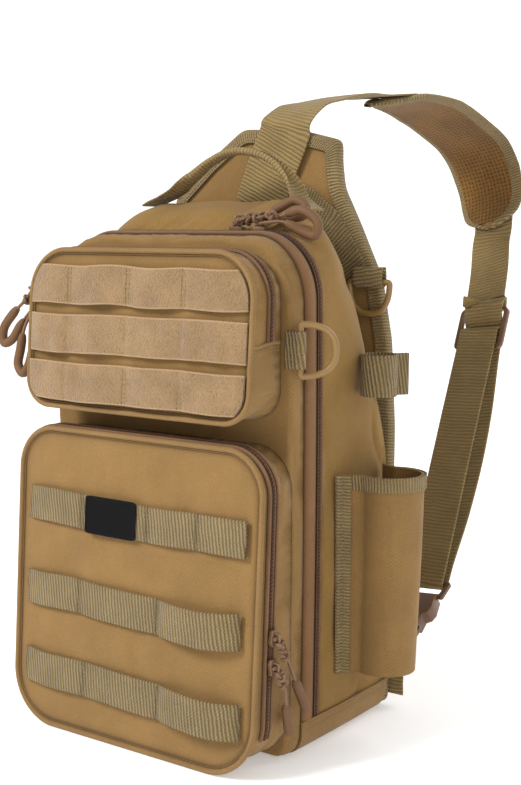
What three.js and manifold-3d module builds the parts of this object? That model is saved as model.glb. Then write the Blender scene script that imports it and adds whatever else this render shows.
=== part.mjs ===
// A one-shoulder fishing sling pack that stands on its base: a zipped main bag with two pockets on its
// front, rows of webbing, a rod sleeve and rod loop on its right side, and a padded shoulder strap behind.
// Millimetres. X points to the pack's right as seen from its front, Y to its back, Z up.
// The origin is on the underside of the base, below the middle of the bag.
import * as THREE from "three";
import Module from "manifold-3d";

const wasm = await Module();
wasm.setup();

// Driving dimensions of the bag
const gap = 0.3;
const bodyWidth = 214;
const bodyHeight = 361;
const crownRise = 24;
const clothWall = 2.6;
const rearBack = 47;
const rearDepth = 96;
const zipBand = 6.5;
const weltBand = 14.5;
const frontDepth = 14;
const baseBandWall = 1.5;
const baseBandHeight = 25;
const edgeRound = 3;
const pipingRadius = 1.9;
const tapeWall = 1.5;

// Driving dimensions of the back panel, the handle and the strap
const panelThickness = 7.5;
const bindingWall = 1.3;
const bindingReach = 12;
const yokeRise = 79;
const handleWidth = 25;
const handleRise = 34;
const webWall = 1.4;
const yokeWebWidth = 46;
const padWidth = 68;
const padThickness = 6;
const padMeshWall = 1.5;
const padBindingWall = 1.3;
const strapWebWidth = 38;
const strapWebWall = 1.8;
const strapReach = 275;
const strapRise = bodyHeight + yokeRise + 26;
const strapTwist = 11;

// Driving dimensions of the webbing and the hardware
const rowWebWidth = 25;
const rowWebWall = 1.8;
const dRingWire = 4.6;
const dRingSpan = 39;
const dRingDepth = 28;
const dRingWebWidth = 25;
const barThickness = 3.2;
const buckleWidth = 48;
const buckleThickness = 11;
const sleeveRadius = 24;
const sleeveLow = 0.136 * bodyHeight;
const sleeveHigh = 0.532 * bodyHeight;
const sleeveWall = 2;
const sleeveTopTape = 10;
const sleeveFlange = 5.6;
const sleeveSpan = 224;
const rodLoopRadius = 13;
const rodLoopHeight = 30;
const rodLoopLow = 0.6815 * bodyHeight;
const rodLoopTail = 11;
const labelWidth = 47;
const labelHeight = 27;
const labelWall = 1.1;

// Places down the depth of the bag, each derived from the one behind it
const rearFront = rearBack - rearDepth;
const zipRear = rearFront - gap;
const zipFront = zipRear - zipBand;
const weltRear = zipFront - gap;
const weltFront = weltRear - weltBand;
const shellRim = weltFront - gap;
const shellFace = shellRim - frontDepth;
const pocketRim = shellFace - gap;
const bodyDepth = rearBack - shellFace;
const bodyLow = baseBandWall + gap;

// Sections of the bag from its front panel (along 0) to its back (along 1). rise is a share of the crown's
// rise, the corner reaches are shares of the bag's width and height, and power is 2 for a round corner.
const bodySections = [
  { along: 0, rise: -0.15, rightX: 0.19, rightZ: 0.125, power: 2, leftX: 0.19, leftZ: 0.125, spread: -0.006 },
  { along: 0.27, rise: 0, rightX: 0.19, rightZ: 0.125, power: 2, leftX: 0.19, leftZ: 0.125, spread: 0 },
  { along: 0.46, rise: 0.66, rightX: 0.22, rightZ: 0.18, power: 2, leftX: 0.19, leftZ: 0.13, spread: 0.004 },
  { along: 0.72, rise: 1, rightX: 0.34, rightZ: 0.38, power: 1.75, leftX: 0.17, leftZ: 0.12, spread: 0.004 },
  { along: 1, rise: 1, rightX: 0.475, rightZ: 0.6, power: 1.5, leftX: 0.15, leftZ: 0.1, spread: -0.006 },
];
const bodyBelly = 0.005;
const bottomCornerX = 0.065;
const bottomCornerZ = 0.04;

// Sizes of the two front pockets. deepLow and deepHigh are the depths at the bottom and the top of the face.
const upperPocket = {
  width: 0.925 * bodyWidth, low: 0.6565 * bodyHeight, height: 0.3075 * bodyHeight,
  deepLow: 38, deepHigh: 30, topCorner: 32, lowCorner: 20, crown: 3,
  zipFrom: 0.35, zipTo: 0.56, zipLow: 0.48,
};
const lowerPocket = {
  width: 1.019 * bodyWidth, low: pipingRadius + gap, height: 0.601 * bodyHeight,
  deepLow: 46, deepHigh: 33, topCorner: 30, lowCorner: 38, crown: 4,
  zipFrom: 0.6, zipTo: 0.86, zipLow: 0.12,
};

// Rows of a pocket's profile from its rim on the front panel (depth 0) to its face (depth 1). spread is a
// share of the pocket's width, and scale shrinks the face towards its middle, which stands out by the crown.
const pocketRows = [
  { depth: 0.0, spread: -0.006, scale: 1, crown: 0 },
  { depth: 0.35, spread: 0.008, scale: 1, crown: 0 },
  { depth: 0.75, spread: 0.006, scale: 1, crown: 0 },
  { depth: 1.0, spread: 0.0, scale: 1, crown: 0 },
  { depth: 1.0, spread: 0.0, scale: 0.72, crown: 0.62 },
  { depth: 1.0, spread: 0.0, scale: 0.36, crown: 1 },
];

// The back panel and its yoke: across is a share of half the body's width, up a share of the body's height,
// and over a share of the yoke's rise above the body.
const panelOutline = [
  { across: 0.955, up: 0.012, over: 0 },
  { across: 0.975, up: 0.3, over: 0 },
  { across: 0.975, up: 0.6, over: 0 },
  { across: 0.94, up: 0.78, over: 0 },
  { across: 0.86, up: 0.905, over: 0 },
  { across: 0.67, up: 1, over: 0.1 },
  { across: 0.545, up: 1, over: 0.42 },
  { across: 0.52, up: 1, over: 0.66 },
  { across: 0.52, up: 1, over: 0.86 },
  { across: 0.2, up: 1, over: 0.965 },
  { across: -0.3, up: 1, over: 1 },
  { across: -0.62, up: 1, over: 0.7 },
  { across: -0.92, up: 1, over: 0.35 },
  { across: -0.975, up: 1, over: 0.08 },
  { across: -0.975, up: 0.7, over: 0 },
  { across: -0.975, up: 0.35, over: 0 },
  { across: -0.955, up: 0.012, over: 0 },
];

// The padded strap's centre line: side is a share of half the body's width, back a share of the strap's
// reach, up a share of its rise, and wide a share of the pad's width. tilt turns its right edge outwards.
const padPath = [
  { side: 0.29, back: 0.49, up: 0.9957, wide: 0.16, tilt: 0 },
  { side: 0.335, back: 0.55, up: 1.0034, wide: 0.62, tilt: 0 },
  { side: 0.376, back: 0.622, up: 1.0072, wide: 0.9, tilt: 0.08 },
  { side: 0.452, back: 0.745, up: 0.9949, wide: 1, tilt: 0.15 },
  { side: 0.519, back: 0.857, up: 0.9685, wide: 1, tilt: 0.15 },
  { side: 0.586, back: 0.953, up: 0.9349, wide: 1, tilt: 0.15 },
  { side: 0.64, back: 1, up: 0.8891, wide: 0.98, tilt: 0.12 },
  { side: 0.692, back: 1.004, up: 0.8388, wide: 0.92, tilt: 0.04 },
  { side: 0.727, back: 0.973, up: 0.8005, wide: 0.72, tilt: 0 },
  { side: 0.741, back: 0.959, up: 0.7842, wide: 0.46, tilt: 0 },
];

// The webbing that joins the yoke to the pad, in the same shares.
const yokeWebPath = [
  { side: -0.135, back: 0.1645, up: 0.815 },
  { side: -0.02, back: 0.1645, up: 0.88 },
  { side: 0.09, back: 0.1645, up: 0.936 },
  { side: 0.112, back: 0.1655, up: 0.955 },
  { side: 0.15, back: 0.215, up: 0.981 },
  { side: 0.187, back: 0.3, up: 0.994 },
  { side: 0.245, back: 0.415, up: 1.008 },
  { side: 0.29, back: 0.49, up: 1.009 },
  { side: 0.335, back: 0.55, up: 1.0152 },
  { side: 0.365, back: 0.6, up: 1.0186 },
];

// The strap's lower webbing from below the pad's end to the adjuster, in the same shares.
const strapUpperPath = [
  { side: 0.75, back: 0.96, up: 0.758 },
  { side: 0.795, back: 0.915, up: 0.705 },
  { side: 0.84, back: 0.853, up: 0.648 },
];

// The adjuster and the lower buckle sit at the two ends of the doubled webbing.
const adjusterAt = { side: 0.865, back: 0.811, up: 0.5944 };
const buckleAt = { side: 0.93, back: 0.44, up: 0.1738 };
const tabAt = { side: 0.82, back: 0.226, up: 0.086 };

// Offsets of the doubled webbing from the line between adjuster and buckle, in millimetres of its thickness:
// down is a share of that line plus near, a distance in webbing walls, and out is in webbing walls.
const foldRadius = barThickness * 0.71 + gap * 1.7 + strapWebWall / 2;
const doubledWeb = [
  { down: 0, near: -15.5, out: -2.1 },
  { down: 0, near: -11.4, out: -2.1 },
  { down: 0, near: -6.4, out: 0 },
  { down: 0, near: -0.6, out: 3.5 },
  { down: 0, near: 8, out: 3.4 },
  { down: 0.3, near: 0, out: 7.2 },
  { down: 0.5, near: 0, out: 8.3 },
  { down: 0.72, near: 0, out: 6.6 },
  { down: 0.92, near: 0, out: 2.8 },
];
const returnWeb = [
  { down: 0.92, near: 0, out: -1.9 },
  { down: 0.5, near: 0, out: -2.2 },
  { down: 0.2, near: 0, out: -2.0 },
  { down: 0, near: 7.8, out: -1.85 },
  { down: 0, near: 2.5, out: -1.8 },
];

// The carrying handle's centre line: across is a share of half the body's width, rise a share of its rise,
// and fold is 1 where the webbing is folded double.
const handlePath = [
  { across: -0.83, rise: 0.008, fold: 0 },
  { across: -0.77, rise: 0.0, fold: 0 },
  { across: -0.7, rise: 0.02, fold: 0 },
  { across: -0.56, rise: 0.16, fold: 0.2 },
  { across: -0.41, rise: 0.48, fold: 0.8 },
  { across: -0.26, rise: 0.8, fold: 1 },
  { across: -0.08, rise: 0.985, fold: 1 },
  { across: 0.11, rise: 0.94, fold: 1 },
  { across: 0.26, rise: 0.74, fold: 1 },
  { across: 0.38, rise: 0.42, fold: 0.7 },
  { across: 0.47, rise: 0.1, fold: 0.1 },
  { across: 0.6, rise: 0.0, fold: 0 },
];
const handleY = 5;

// Webbing rows on the lower pocket: low is the height of the lower edge as a share of the pocket's height,
// bars are shares of half the pocket's width, and bows are how far each cell stands off, in webbing walls.
const webRows = [
  { low: 0.685, bars: [-0.89, -0.4, 0.16, 0.55, 0.91], bows: [0.5, 0.4, 0.6, 0.6] },
  { low: 0.4, bars: [-0.89, -0.4, 0.27, 0.89], bows: [1.0, 0.7, 4.4] },
  { low: 0.13, bars: [-0.89, -0.34, 0.29, 0.91], bows: [0.6, 0.7, 4.4] },
];
const rowSlope = -0.012;

// Loop-pile strips on the upper pocket: each low is a share of its height, and the bars where a strip
// is sewn down are shares of half its width. The strips are cut to the pocket's outline, inside its piping.
const pileLows = [0.66, 0.352, 0.046];
const pileHeight = 27.5;
const pileWall = 2;
const pileBars = [-0.975, -0.585, -0.03, 0.46, 0.985];
const pileBow = 1.1;

// Materials, with colours read from the object
const fabric = (color, roughness = 0.92) => new THREE.MeshStandardMaterial({ color, roughness, metalness: 0 });
const materials = {
  cloth: fabric(0xa9834f),
  tape: fabric(0x94895c),
  pile: fabric(0xb39873),
  zip: fabric(0x8f5f4b, 0.8),
  welt: fabric(0xb0866a),
  mesh: fabric(0x6b4a26),
  label: fabric(0x17171a, 0.7),
  tanPlastic: new THREE.MeshStandardMaterial({ color: 0xb4935c, roughness: 0.5, metalness: 0 }),
  brownPlastic: new THREE.MeshStandardMaterial({ color: 0x8a5a35, roughness: 0.45, metalness: 0 }),
  pull: new THREE.MeshStandardMaterial({ color: 0x8d7364, roughness: 0.55, metalness: 0 }),
  slider: new THREE.MeshStandardMaterial({ color: 0x9a7a5c, roughness: 0.5, metalness: 0.3 }),
};

const pack = new THREE.Group();

// Adds a solid to the pack as a named mesh.
function add(name, solid, material) {
  const mesh = new THREE.Mesh(geometryOf(solid), material);
  mesh.name = name;
  pack.add(mesh);
}

// A manifold solid as a three.js geometry, with a flat normal on each face.
function geometryOf(solid) {
  const { vertProperties, triVerts, numProp, numVert } = solid.getMesh();
  const position = new Float32Array(numVert * 3);
  for (let i = 0; i < numVert; i++) {
    position.set(vertProperties.subarray(i * numProp, i * numProp + 3), i * 3);
  }
  const indexed = new THREE.BufferGeometry();
  indexed.setAttribute("position", new THREE.BufferAttribute(position, 3));
  indexed.setIndex(new THREE.BufferAttribute(new Uint32Array(triVerts), 1));
  const flat = indexed.toNonIndexed();
  flat.computeVertexNormals();
  return flat;
}

// A solid from shared points and triangles, turned right side out.
function solidFrom(points, triangles) {
  const build = (faces) =>
    new wasm.Manifold(
      new wasm.Mesh({
        numProp: 3,
        vertProperties: new Float32Array(points.flatMap((p) => [p.x, p.y, p.z])),
        triVerts: new Uint32Array(faces.flat()),
      }),
    );
  const made = build(triangles);
  if (made.volume() > 0) return made;
  return build(triangles.map(([a, b, c]) => [a, c, b]));
}

// Triangles that close a ring of points lying roughly in one plane, in the ring's own direction.
function capOf(ring) {
  const normal = new THREE.Vector3();
  ring.forEach((p, i) => normal.add(p.clone().cross(ring[(i + 1) % ring.length])));
  normal.normalize();
  const other = Math.abs(normal.x) < 0.8 ? new THREE.Vector3(1, 0, 0) : new THREE.Vector3(0, 1, 0);
  const u = other.clone().cross(normal).normalize();
  const v = normal.clone().cross(u);
  const flat = ring.map((p) => new THREE.Vector2(p.dot(u), p.dot(v)));
  return THREE.ShapeUtils.triangulateShape(flat, []).map(([a, b, c]) => {
    const turn = flat[b].clone().sub(flat[a]).cross(flat[c].clone().sub(flat[a]));
    return turn > 0 ? [a, b, c] : [a, c, b];
  });
}

// A closed solid through a series of rings with equal counts; a loop joins the last ring to the first.
function skin(rings, loop = false) {
  const count = rings[0].length;
  const triangles = [];
  const last = loop ? rings.length : rings.length - 1;
  for (let i = 0; i < last; i++) {
    const here = i * count;
    const next = ((i + 1) % rings.length) * count;
    for (let j = 0; j < count; j++) {
      const k = (j + 1) % count;
      triangles.push([here + j, here + k, next + k], [here + j, next + k, next + j]);
    }
  }
  if (!loop) {
    capOf(rings[0]).forEach(([a, b, c]) => triangles.push([a, c, b]));
    const end = (rings.length - 1) * count;
    capOf(rings[rings.length - 1]).forEach(([a, b, c]) => triangles.push([end + a, end + b, end + c]));
  }
  return solidFrom(rings.flat(), triangles);
}

// A three.js geometry as a solid.
function solidOf(geometry) {
  const position = (geometry.index ? geometry.toNonIndexed() : geometry).getAttribute("position");
  const places = new Map();
  const points = [];
  const corners = [];
  for (let i = 0; i < position.count; i++) {
    const p = new THREE.Vector3().fromBufferAttribute(position, i);
    const key = p.toArray().map((n) => Math.round(n * 1e4)).join(" ");
    if (!places.has(key)) {
      places.set(key, points.length);
      points.push(p);
    }
    corners.push(places.get(key));
  }
  const triangles = [];
  for (let i = 0; i < corners.length; i += 3) triangles.push(corners.slice(i, i + 3));
  const sound = triangles.filter(([a, b, c]) => a !== b && b !== c && c !== a);
  return solidFrom(points, sound);
}

// A box between two corners.
function boxOf(low, high) {
  const size = high.clone().sub(low);
  const middle = high.clone().add(low).multiplyScalar(0.5);
  return solidOf(new THREE.BoxGeometry(size.x, size.y, size.z).translate(middle.x, middle.y, middle.z));
}

const farAway = 2000;
const slab = (low, high) =>
  boxOf(new THREE.Vector3(-farAway, -farAway, low), new THREE.Vector3(farAway, farAway, high));
const above = (solid, z) => solid.intersect(slab(z, farAway));
const below = (solid, z) => solid.intersect(slab(-farAway, z));

const mix = (a, b, t) => a + (b - a) * t;

// The row of a table at any value of one column, each other column worked out between its neighbours.
function rowAt(table, column, value) {
  let i = 0;
  while (i < table.length - 2 && table[i + 1][column] < value) i++;
  const [a, b] = [table[i], table[i + 1]];
  const t = Math.min(1, Math.max(0, (value - a[column]) / (b[column] - a[column])));
  return Object.fromEntries(Object.keys(a).map((key) => [key, mix(a[key], b[key], t)]));
}

// A rounded outline in X and Z, anticlockwise from the lower right. Each corner reaches so far along X and Z.
const cornerSteps = 4;
const sideSteps = 3;
function outline({ left, right, low, high, corners, belly = 0 }) {
  const [topRight, topLeft, lowLeft, lowRight] = corners;
  const points = [];
  const corner = (x, z, { reachX, reachZ, power }, quarter) => {
    for (let i = 0; i <= cornerSteps; i++) {
      const angle = ((quarter + i / cornerSteps) * Math.PI) / 2;
      const [c, s] = [Math.cos(angle), Math.sin(angle)];
      const bend = (n) => Math.sign(n) * Math.abs(n) ** (2 / power);
      points.push(new THREE.Vector2(x + reachX * bend(c), z + reachZ * bend(s)));
    }
  };
  const side = (to, outX) => {
    const from = points[points.length - 1];
    for (let i = 1; i < sideSteps; i++) {
      const t = i / sideSteps;
      const swell = outX * belly * 4 * t * (1 - t);
      points.push(new THREE.Vector2(mix(from.x, to.x, t) + swell, mix(from.y, to.y, t)));
    }
  };
  points.push(new THREE.Vector2(right, low + lowRight.reachZ));
  side(new THREE.Vector2(right, high - topRight.reachZ), 1);
  corner(right - topRight.reachX, high - topRight.reachZ, topRight, 0);
  side(new THREE.Vector2(left + topLeft.reachX, high), 0);
  corner(left + topLeft.reachX, high - topLeft.reachZ, topLeft, 1);
  side(new THREE.Vector2(left, low + lowLeft.reachZ), -1);
  corner(left + lowLeft.reachX, low + lowLeft.reachZ, lowLeft, 2);
  side(new THREE.Vector2(right - lowRight.reachX, low), 0);
  corner(right - lowRight.reachX, low + lowRight.reachZ, lowRight, 3);
  points.pop();
  return points;
}

// An outline moved outwards by a distance, with mitred corners.
function grown(points, distance) {
  const normal = (a, b) => new THREE.Vector2(b.y - a.y, a.x - b.x).normalize();
  return points.map((p, i) => {
    const before = normal(points[(i + points.length - 1) % points.length], p);
    const after = normal(p, points[(i + 1) % points.length]);
    const bisector = before.clone().add(after).divideScalar(1 + before.dot(after));
    return p.clone().addScaledVector(bisector, distance);
  });
}

const atDepth = (points, y) => points.map((p) => new THREE.Vector3(p.x, y, p.y));

// The bag's outline at a place down its depth.
function bodyOutline(y) {
  const along = (y - shellFace) / bodyDepth;
  const row = rowAt(bodySections, "along", along);
  const half = (bodyWidth / 2) * (1 + row.spread);
  const high = bodyHeight + crownRise * row.rise;
  const lowCorner = { reachX: bottomCornerX * bodyWidth, reachZ: bottomCornerZ * bodyHeight, power: 2 };
  const topRight = { reachX: row.rightX * bodyWidth, reachZ: row.rightZ * bodyHeight, power: row.power };
  const topLeft = { reachX: row.leftX * bodyWidth, reachZ: row.leftZ * bodyHeight, power: 2 };
  const corners = [topRight, topLeft, lowCorner, lowCorner];
  return outline({ left: -half, right: half, low: bodyLow, high, corners, belly: bodyBelly * bodyWidth });
}

// How far the bag's right side stands from its middle at a depth and a height.
function sideAt(y, z) {
  const points = bodyOutline(y).filter((p) => p.x > 0);
  let best = 0;
  for (let i = 0; i < points.length - 1; i++) {
    const [a, b] = [points[i], points[i + 1]];
    if ((a.y - z) * (b.y - z) > 0 || a.y === b.y) continue;
    best = Math.max(best, mix(a.x, b.x, (z - a.y) / (b.y - a.y)));
  }
  return best;
}

// An open tray: outer rings from the rim to the closed face, and the same rings inside by the wall.
function bodyTray(rimY, faceY, steps) {
  const out = Math.sign(faceY - rimY);
  const rows = [];
  for (let i = 0; i <= steps; i++) rows.push({ y: mix(rimY, faceY - out * edgeRound, i / steps), inset: 0 });
  rows.push({ y: faceY - out * edgeRound * 0.3, inset: edgeRound * 0.3 });
  rows.push({ y: faceY, inset: edgeRound });
  const outer = rows.map(({ y, inset }) => atDepth(grown(bodyOutline(y), -inset), y));
  const inner = rows.map(({ y, inset }, i) => {
    const deep = i === 0 ? y : y - (out * clothWall * i) / (rows.length - 1);
    return atDepth(grown(bodyOutline(y), -inset - clothWall), deep);
  });
  return skin([...inner.reverse(), ...outer]);
}

// A band around an outline: its section is a table of places down the depth and distances outwards.
function bandAround(outlineAt, section) {
  const rings = section.map(({ y, out }) => atDepth(grown(outlineAt(y), out), y));
  return skin(rings, true);
}

// Bag: front shell, welt, zip, rear shell and base band
const bandOver = (front, rear, wall, swell, steps = 2) => {
  const section = [];
  for (let i = 0; i <= steps; i++) {
    const t = i / steps;
    section.push({ y: mix(front, rear, t), out: swell * 4 * t * (1 - t) });
  }
  for (let i = steps; i >= 0; i--) {
    const t = i / steps;
    section.push({ y: mix(front, rear, t), out: swell * 4 * t * (1 - t) - wall });
  }
  return bandAround(bodyOutline, section);
};

const zipFoot = baseBandHeight + gap;
add("main_front_shell", bodyTray(shellRim, shellFace, 1), materials.cloth);
add("main_welt", above(bandOver(weltFront, weltRear, clothWall, clothWall * 0.7), zipFoot), materials.welt);
add("main_zip", above(bandOver(zipFront, zipRear, clothWall, 0.8), zipFoot), materials.zip);
add("main_rear_shell", bodyTray(rearFront, rearBack, 5), materials.cloth);

const baseSteps = 3;
const baseSection = [];
for (let i = 0; i <= baseSteps; i++) {
  baseSection.push({ y: mix(weltFront, rearBack - edgeRound, i / baseSteps), out: gap + baseBandWall });
}
for (let i = baseSteps; i >= 0; i--) {
  baseSection.push({ y: mix(weltFront, rearBack - edgeRound, i / baseSteps), out: gap });
}
add("base_band", below(bandAround(bodyOutline, baseSection), baseBandHeight), materials.cloth);

// Pockets

// A pocket's outline at a row of its profile.
function pocketOutline(pocket, { spread, scale }, inset = 0) {
  const half = (pocket.width / 2) * (1 + spread);
  const [low, high] = [pocket.low, pocket.low + pocket.height];
  const round = (reach) => ({ reachX: reach, reachZ: reach, power: 2 });
  const [top, bottom] = [round(pocket.topCorner), round(pocket.lowCorner)];
  const plain = outline({ left: -half, right: half, low, high, corners: [top, top, bottom, bottom] });
  const middle = new THREE.Vector2(0, (low + high) / 2);
  return grown(plain, -inset).map((p) => p.sub(middle).multiplyScalar(scale).add(middle));
}

// How deep a pocket is at a height.
const pocketDepth = (pocket, z) => mix(pocket.deepLow, pocket.deepHigh, (z - pocket.low) / pocket.height);

// The points of an outline set at a depth share of the pocket, and forward by a distance.
function pocketRing(pocket, points, depth, forward) {
  const y = (p) => pocketRim - depth * pocketDepth(pocket, p.y) - forward;
  return points.map((p) => new THREE.Vector3(p.x, y(p), p.y));
}

// An open pocket tray with a rounded face edge and a crowned face.
function pocketTray(pocket) {
  const face = pocketRows.findIndex((row) => row.depth === 1);
  const rings = (wall) =>
    pocketRows.flatMap((row, i) => {
      const inset = wall + (i >= face ? edgeRound : 0);
      const forward = row.crown * pocket.crown - (row.depth === 0 ? 0 : wall * row.depth);
      const ring = pocketRing(pocket, pocketOutline(pocket, row, inset), row.depth, forward);
      if (i !== face) return [ring];
      const shoulder = pocketOutline(pocket, row, wall);
      return [pocketRing(pocket, shoulder, row.depth, forward - edgeRound), ring];
    });
  return skin([...rings(clothWall).reverse(), ...rings(0)]);
}

// Where the face of a pocket stands at a place on it, counted forwards from its rim.
function faceForward(pocket, x, z) {
  const across = Math.abs(x) / (pocket.width / 2 - edgeRound);
  const up = Math.abs(z - pocket.low - pocket.height / 2) / (pocket.height / 2 - edgeRound);
  const scale = Math.min(1, Math.max(across, up));
  const crowned = pocketRows.filter((row) => row.depth === 1);
  const inner = crowned[crowned.length - 1];
  if (scale <= inner.scale) return pocketDepth(pocket, z) + inner.crown * pocket.crown;
  const outer = crowned.findIndex((row, i) => i < crowned.length - 1 && crowned[i + 1].scale <= scale);
  const [a, b] = [crowned[outer], crowned[outer + 1]];
  const share = (a.scale - scale) / (a.scale - b.scale);
  return pocketDepth(pocket, z) + mix(a.crown, b.crown, share) * pocket.crown;
}

// A point in front of a pocket's face.
const onFace = (pocket, x, z, out) => new THREE.Vector3(x, pocketRim - faceForward(pocket, x, z) - out, z);

// A zip tape around a pocket's gusset, from one side over the top to the other.
function pocketZip(pocket) {
  const tape = [
    { depth: pocket.zipFrom, out: gap },
    { depth: pocket.zipTo, out: gap },
    { depth: pocket.zipTo, out: gap + tapeWall },
    { depth: (pocket.zipFrom + pocket.zipTo) / 2, out: gap + tapeWall * 1.6 },
    { depth: pocket.zipFrom, out: gap + tapeWall },
  ];
  const rings = tape.map(({ depth, out }) => {
    const row = rowAt(pocketRows, "depth", depth);
    return pocketRing(pocket, pocketOutline(pocket, { spread: row.spread, scale: 1 }, -out), depth, 0);
  });
  return above(skin(rings, true), pocket.low + pocket.height * pocket.zipLow);
}

// Piping around the edge of a pocket's face: a round cord along the outline.
function piping(pocket) {
  const sides = 6;
  const rings = [];
  for (let i = 0; i < sides; i++) {
    const angle = (i / sides) * 2 * Math.PI;
    const points = pocketOutline(pocket, { spread: 0, scale: 1 }, -pipingRadius * Math.cos(angle));
    rings.push(pocketRing(pocket, points, 1, pipingRadius * Math.sin(angle)));
  }
  return skin(rings, true);
}

for (const [name, pocket] of [["upper_pocket", upperPocket], ["lower_pocket", lowerPocket]]) {
  add(name + "_shell", pocketTray(pocket), materials.cloth);
  add(name + "_zip", pocketZip(pocket), materials.zip);
  add(name + "_piping", piping(pocket), materials.cloth);
}

// Webbing

// The four corners of a flat section across a path.
function flatSection(at, across, normal, width, wall) {
  const corner = (u, v) => {
    return at.clone().addScaledVector(across, (u * width) / 2).addScaledVector(normal, (v * wall) / 2);
  };
  return [corner(-1, -1), corner(1, -1), corner(1, 1), corner(-1, 1)];
}

// A ribbon along points: across says which way its width lies, and sizes give width and wall at each point.
function ribbon(points, across, sizes) {
  const rings = points.map((at, i) => {
    const after = points[Math.min(i + 1, points.length - 1)];
    const tangent = after.clone().sub(points[Math.max(i - 1, 0)]).normalize();
    const way = (typeof across === "function" ? across(i) : across).clone();
    way.addScaledVector(tangent, -way.dot(tangent)).normalize();
    const normal = way.clone().cross(tangent);
    const { width, wall } = typeof sizes === "function" ? sizes(i) : sizes;
    return flatSection(at, way, normal, width, wall);
  });
  return skin(rings);
}

// The middle line of a row across a pocket's face, sewn down at bars and standing off between them.
function rowLine(pocket, low, height, wall, bars, bows, slope) {
  const half = pocket.width / 2;
  const seat = gap * 1.3 + wall / 2;
  const lean = (pocket.deepLow - pocket.deepHigh) / pocket.height;
  const cellSteps = 4;
  const points = [];
  const place = (x, bow) => {
    const z = low + height / 2 + slope * x;
    const proud = [-0.5, -0.25, 0, 0.25, 0.5].map((share) => {
      const up = share * height;
      return faceForward(pocket, x, z + up) - faceForward(pocket, x, z) + lean * up;
    });
    return onFace(pocket, x, z, seat + Math.max(...proud) + bow);
  };
  bars.slice(0, -1).forEach((bar, cell) => {
    for (let i = 0; i < cellSteps; i++) {
      const t = i / cellSteps;
      const flat = Math.sin(Math.PI * t) ** 0.7;
      points.push(place(mix(bar, bars[cell + 1], t) * half, bows[cell] * wall * flat));
    }
  });
  points.push(place(bars[bars.length - 1] * half, 0));
  return points;
}

// The way up a pocket's leaning face.
const faceUp = ({ deepLow, deepHigh, height }) => {
  return new THREE.Vector3(0, (deepLow - deepHigh) / height, 1).normalize();
};

const webLines = webRows.map(({ low, bars, bows }) => {
  const foot = lowerPocket.low + low * lowerPocket.height;
  return rowLine(lowerPocket, foot, rowWebWidth, rowWebWall, bars, bows, rowSlope);
});
webLines.forEach((line, i) => {
  const row = ribbon(line, faceUp(lowerPocket), { width: rowWebWidth, wall: rowWebWall });
  add("webbing_row_" + (i + 1), row, materials.tape);
});
const pileOutline = pocketOutline(upperPocket, { spread: 0, scale: 1 }, pipingRadius + gap * 2);
const pileArea = skin([atDepth(pileOutline, -farAway), atDepth(pileOutline, farAway)]);
pileLows.forEach((low, i) => {
  const foot = upperPocket.low + low * upperPocket.height;
  const bows = pileBars.slice(1).map(() => pileBow);
  const line = rowLine(upperPocket, foot, pileHeight, pileWall, pileBars, bows, 0);
  const strip = ribbon(line, faceUp(upperPocket), { width: pileHeight, wall: pileWall });
  add("pile_strip_" + (i + 1), strip.intersect(pileArea), materials.pile);
});

// The bare label patch in front of the first webbing row
const labelX = (webRows[0].bars[1] * 0.88 * lowerPocket.width) / 2 + labelWidth / 2;
const labelZ = lowerPocket.low + webRows[0].low * lowerPocket.height + rowWebWidth / 2 - rowSlope * labelX;
const labelEnds = [-1, 0, 1].map((k) => labelX + (k * labelWidth) / 2);
const behindLabel = webLines[0].filter((p) => p.x > labelEnds[0] && p.x < labelEnds[2]);
const labelY = Math.min(...behindLabel.map((p) => p.y)) - rowWebWall / 2 - gap * 1.5 - labelWall / 2;
const labelPoints = labelEnds.map((x) => new THREE.Vector3(x, labelY, labelZ));
const label = ribbon(labelPoints, faceUp(lowerPocket), { width: labelHeight, wall: labelWall });
add("label_patch", label, materials.label);

// Back panel with its yoke, and its binding
const panelPlane = panelOutline.map(({ across, up, over }) => {
  return new THREE.Vector2((across * bodyWidth) / 2, up * bodyHeight + over * yokeRise);
});
const legFront = rearBack + gap;
const panelFront = legFront + bindingWall + gap;
const panelRear = panelFront + panelThickness;
const legRear = panelRear + gap + bindingWall;
const panelRows = [
  { depth: 0, inset: 0.4 },
  { depth: 0.25, inset: 0 },
  { depth: 0.75, inset: 0 },
  { depth: 1, inset: 0.4 },
];
const panelRings = panelRows.map(({ depth, inset }) => {
  return atDepth(grown(panelPlane, -inset * panelThickness), mix(panelFront, panelRear, depth));
});
add("back_panel", skin(panelRings), materials.cloth);
const bindingSection = [
  { y: legFront, out: -bindingReach },
  { y: legFront, out: gap + bindingWall },
  { y: legRear, out: gap + bindingWall },
  { y: legRear, out: -bindingReach },
  { y: panelRear + gap, out: -bindingReach },
  { y: panelRear + gap, out: gap },
  { y: panelFront - gap, out: gap },
  { y: panelFront - gap, out: -bindingReach },
];
add("back_binding", bandAround(() => panelPlane, bindingSection), materials.tape);

// Carrying handle over the crest of the top
const smooth = (points, count) => new THREE.CatmullRomCurve3(points, false, "centripetal").getPoints(count);

// How high the bag's top stands at a place.
function topAt(y, x) {
  const points = bodyOutline(y).filter((p) => p.y > bodyHeight * 0.6);
  const i = points.findIndex((p, n) => n < points.length - 1 && (p.x - x) * (points[n + 1].x - x) <= 0);
  return mix(points[i].y, points[i + 1].y, (x - points[i].x) / (points[i + 1].x - points[i].x));
}

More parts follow.
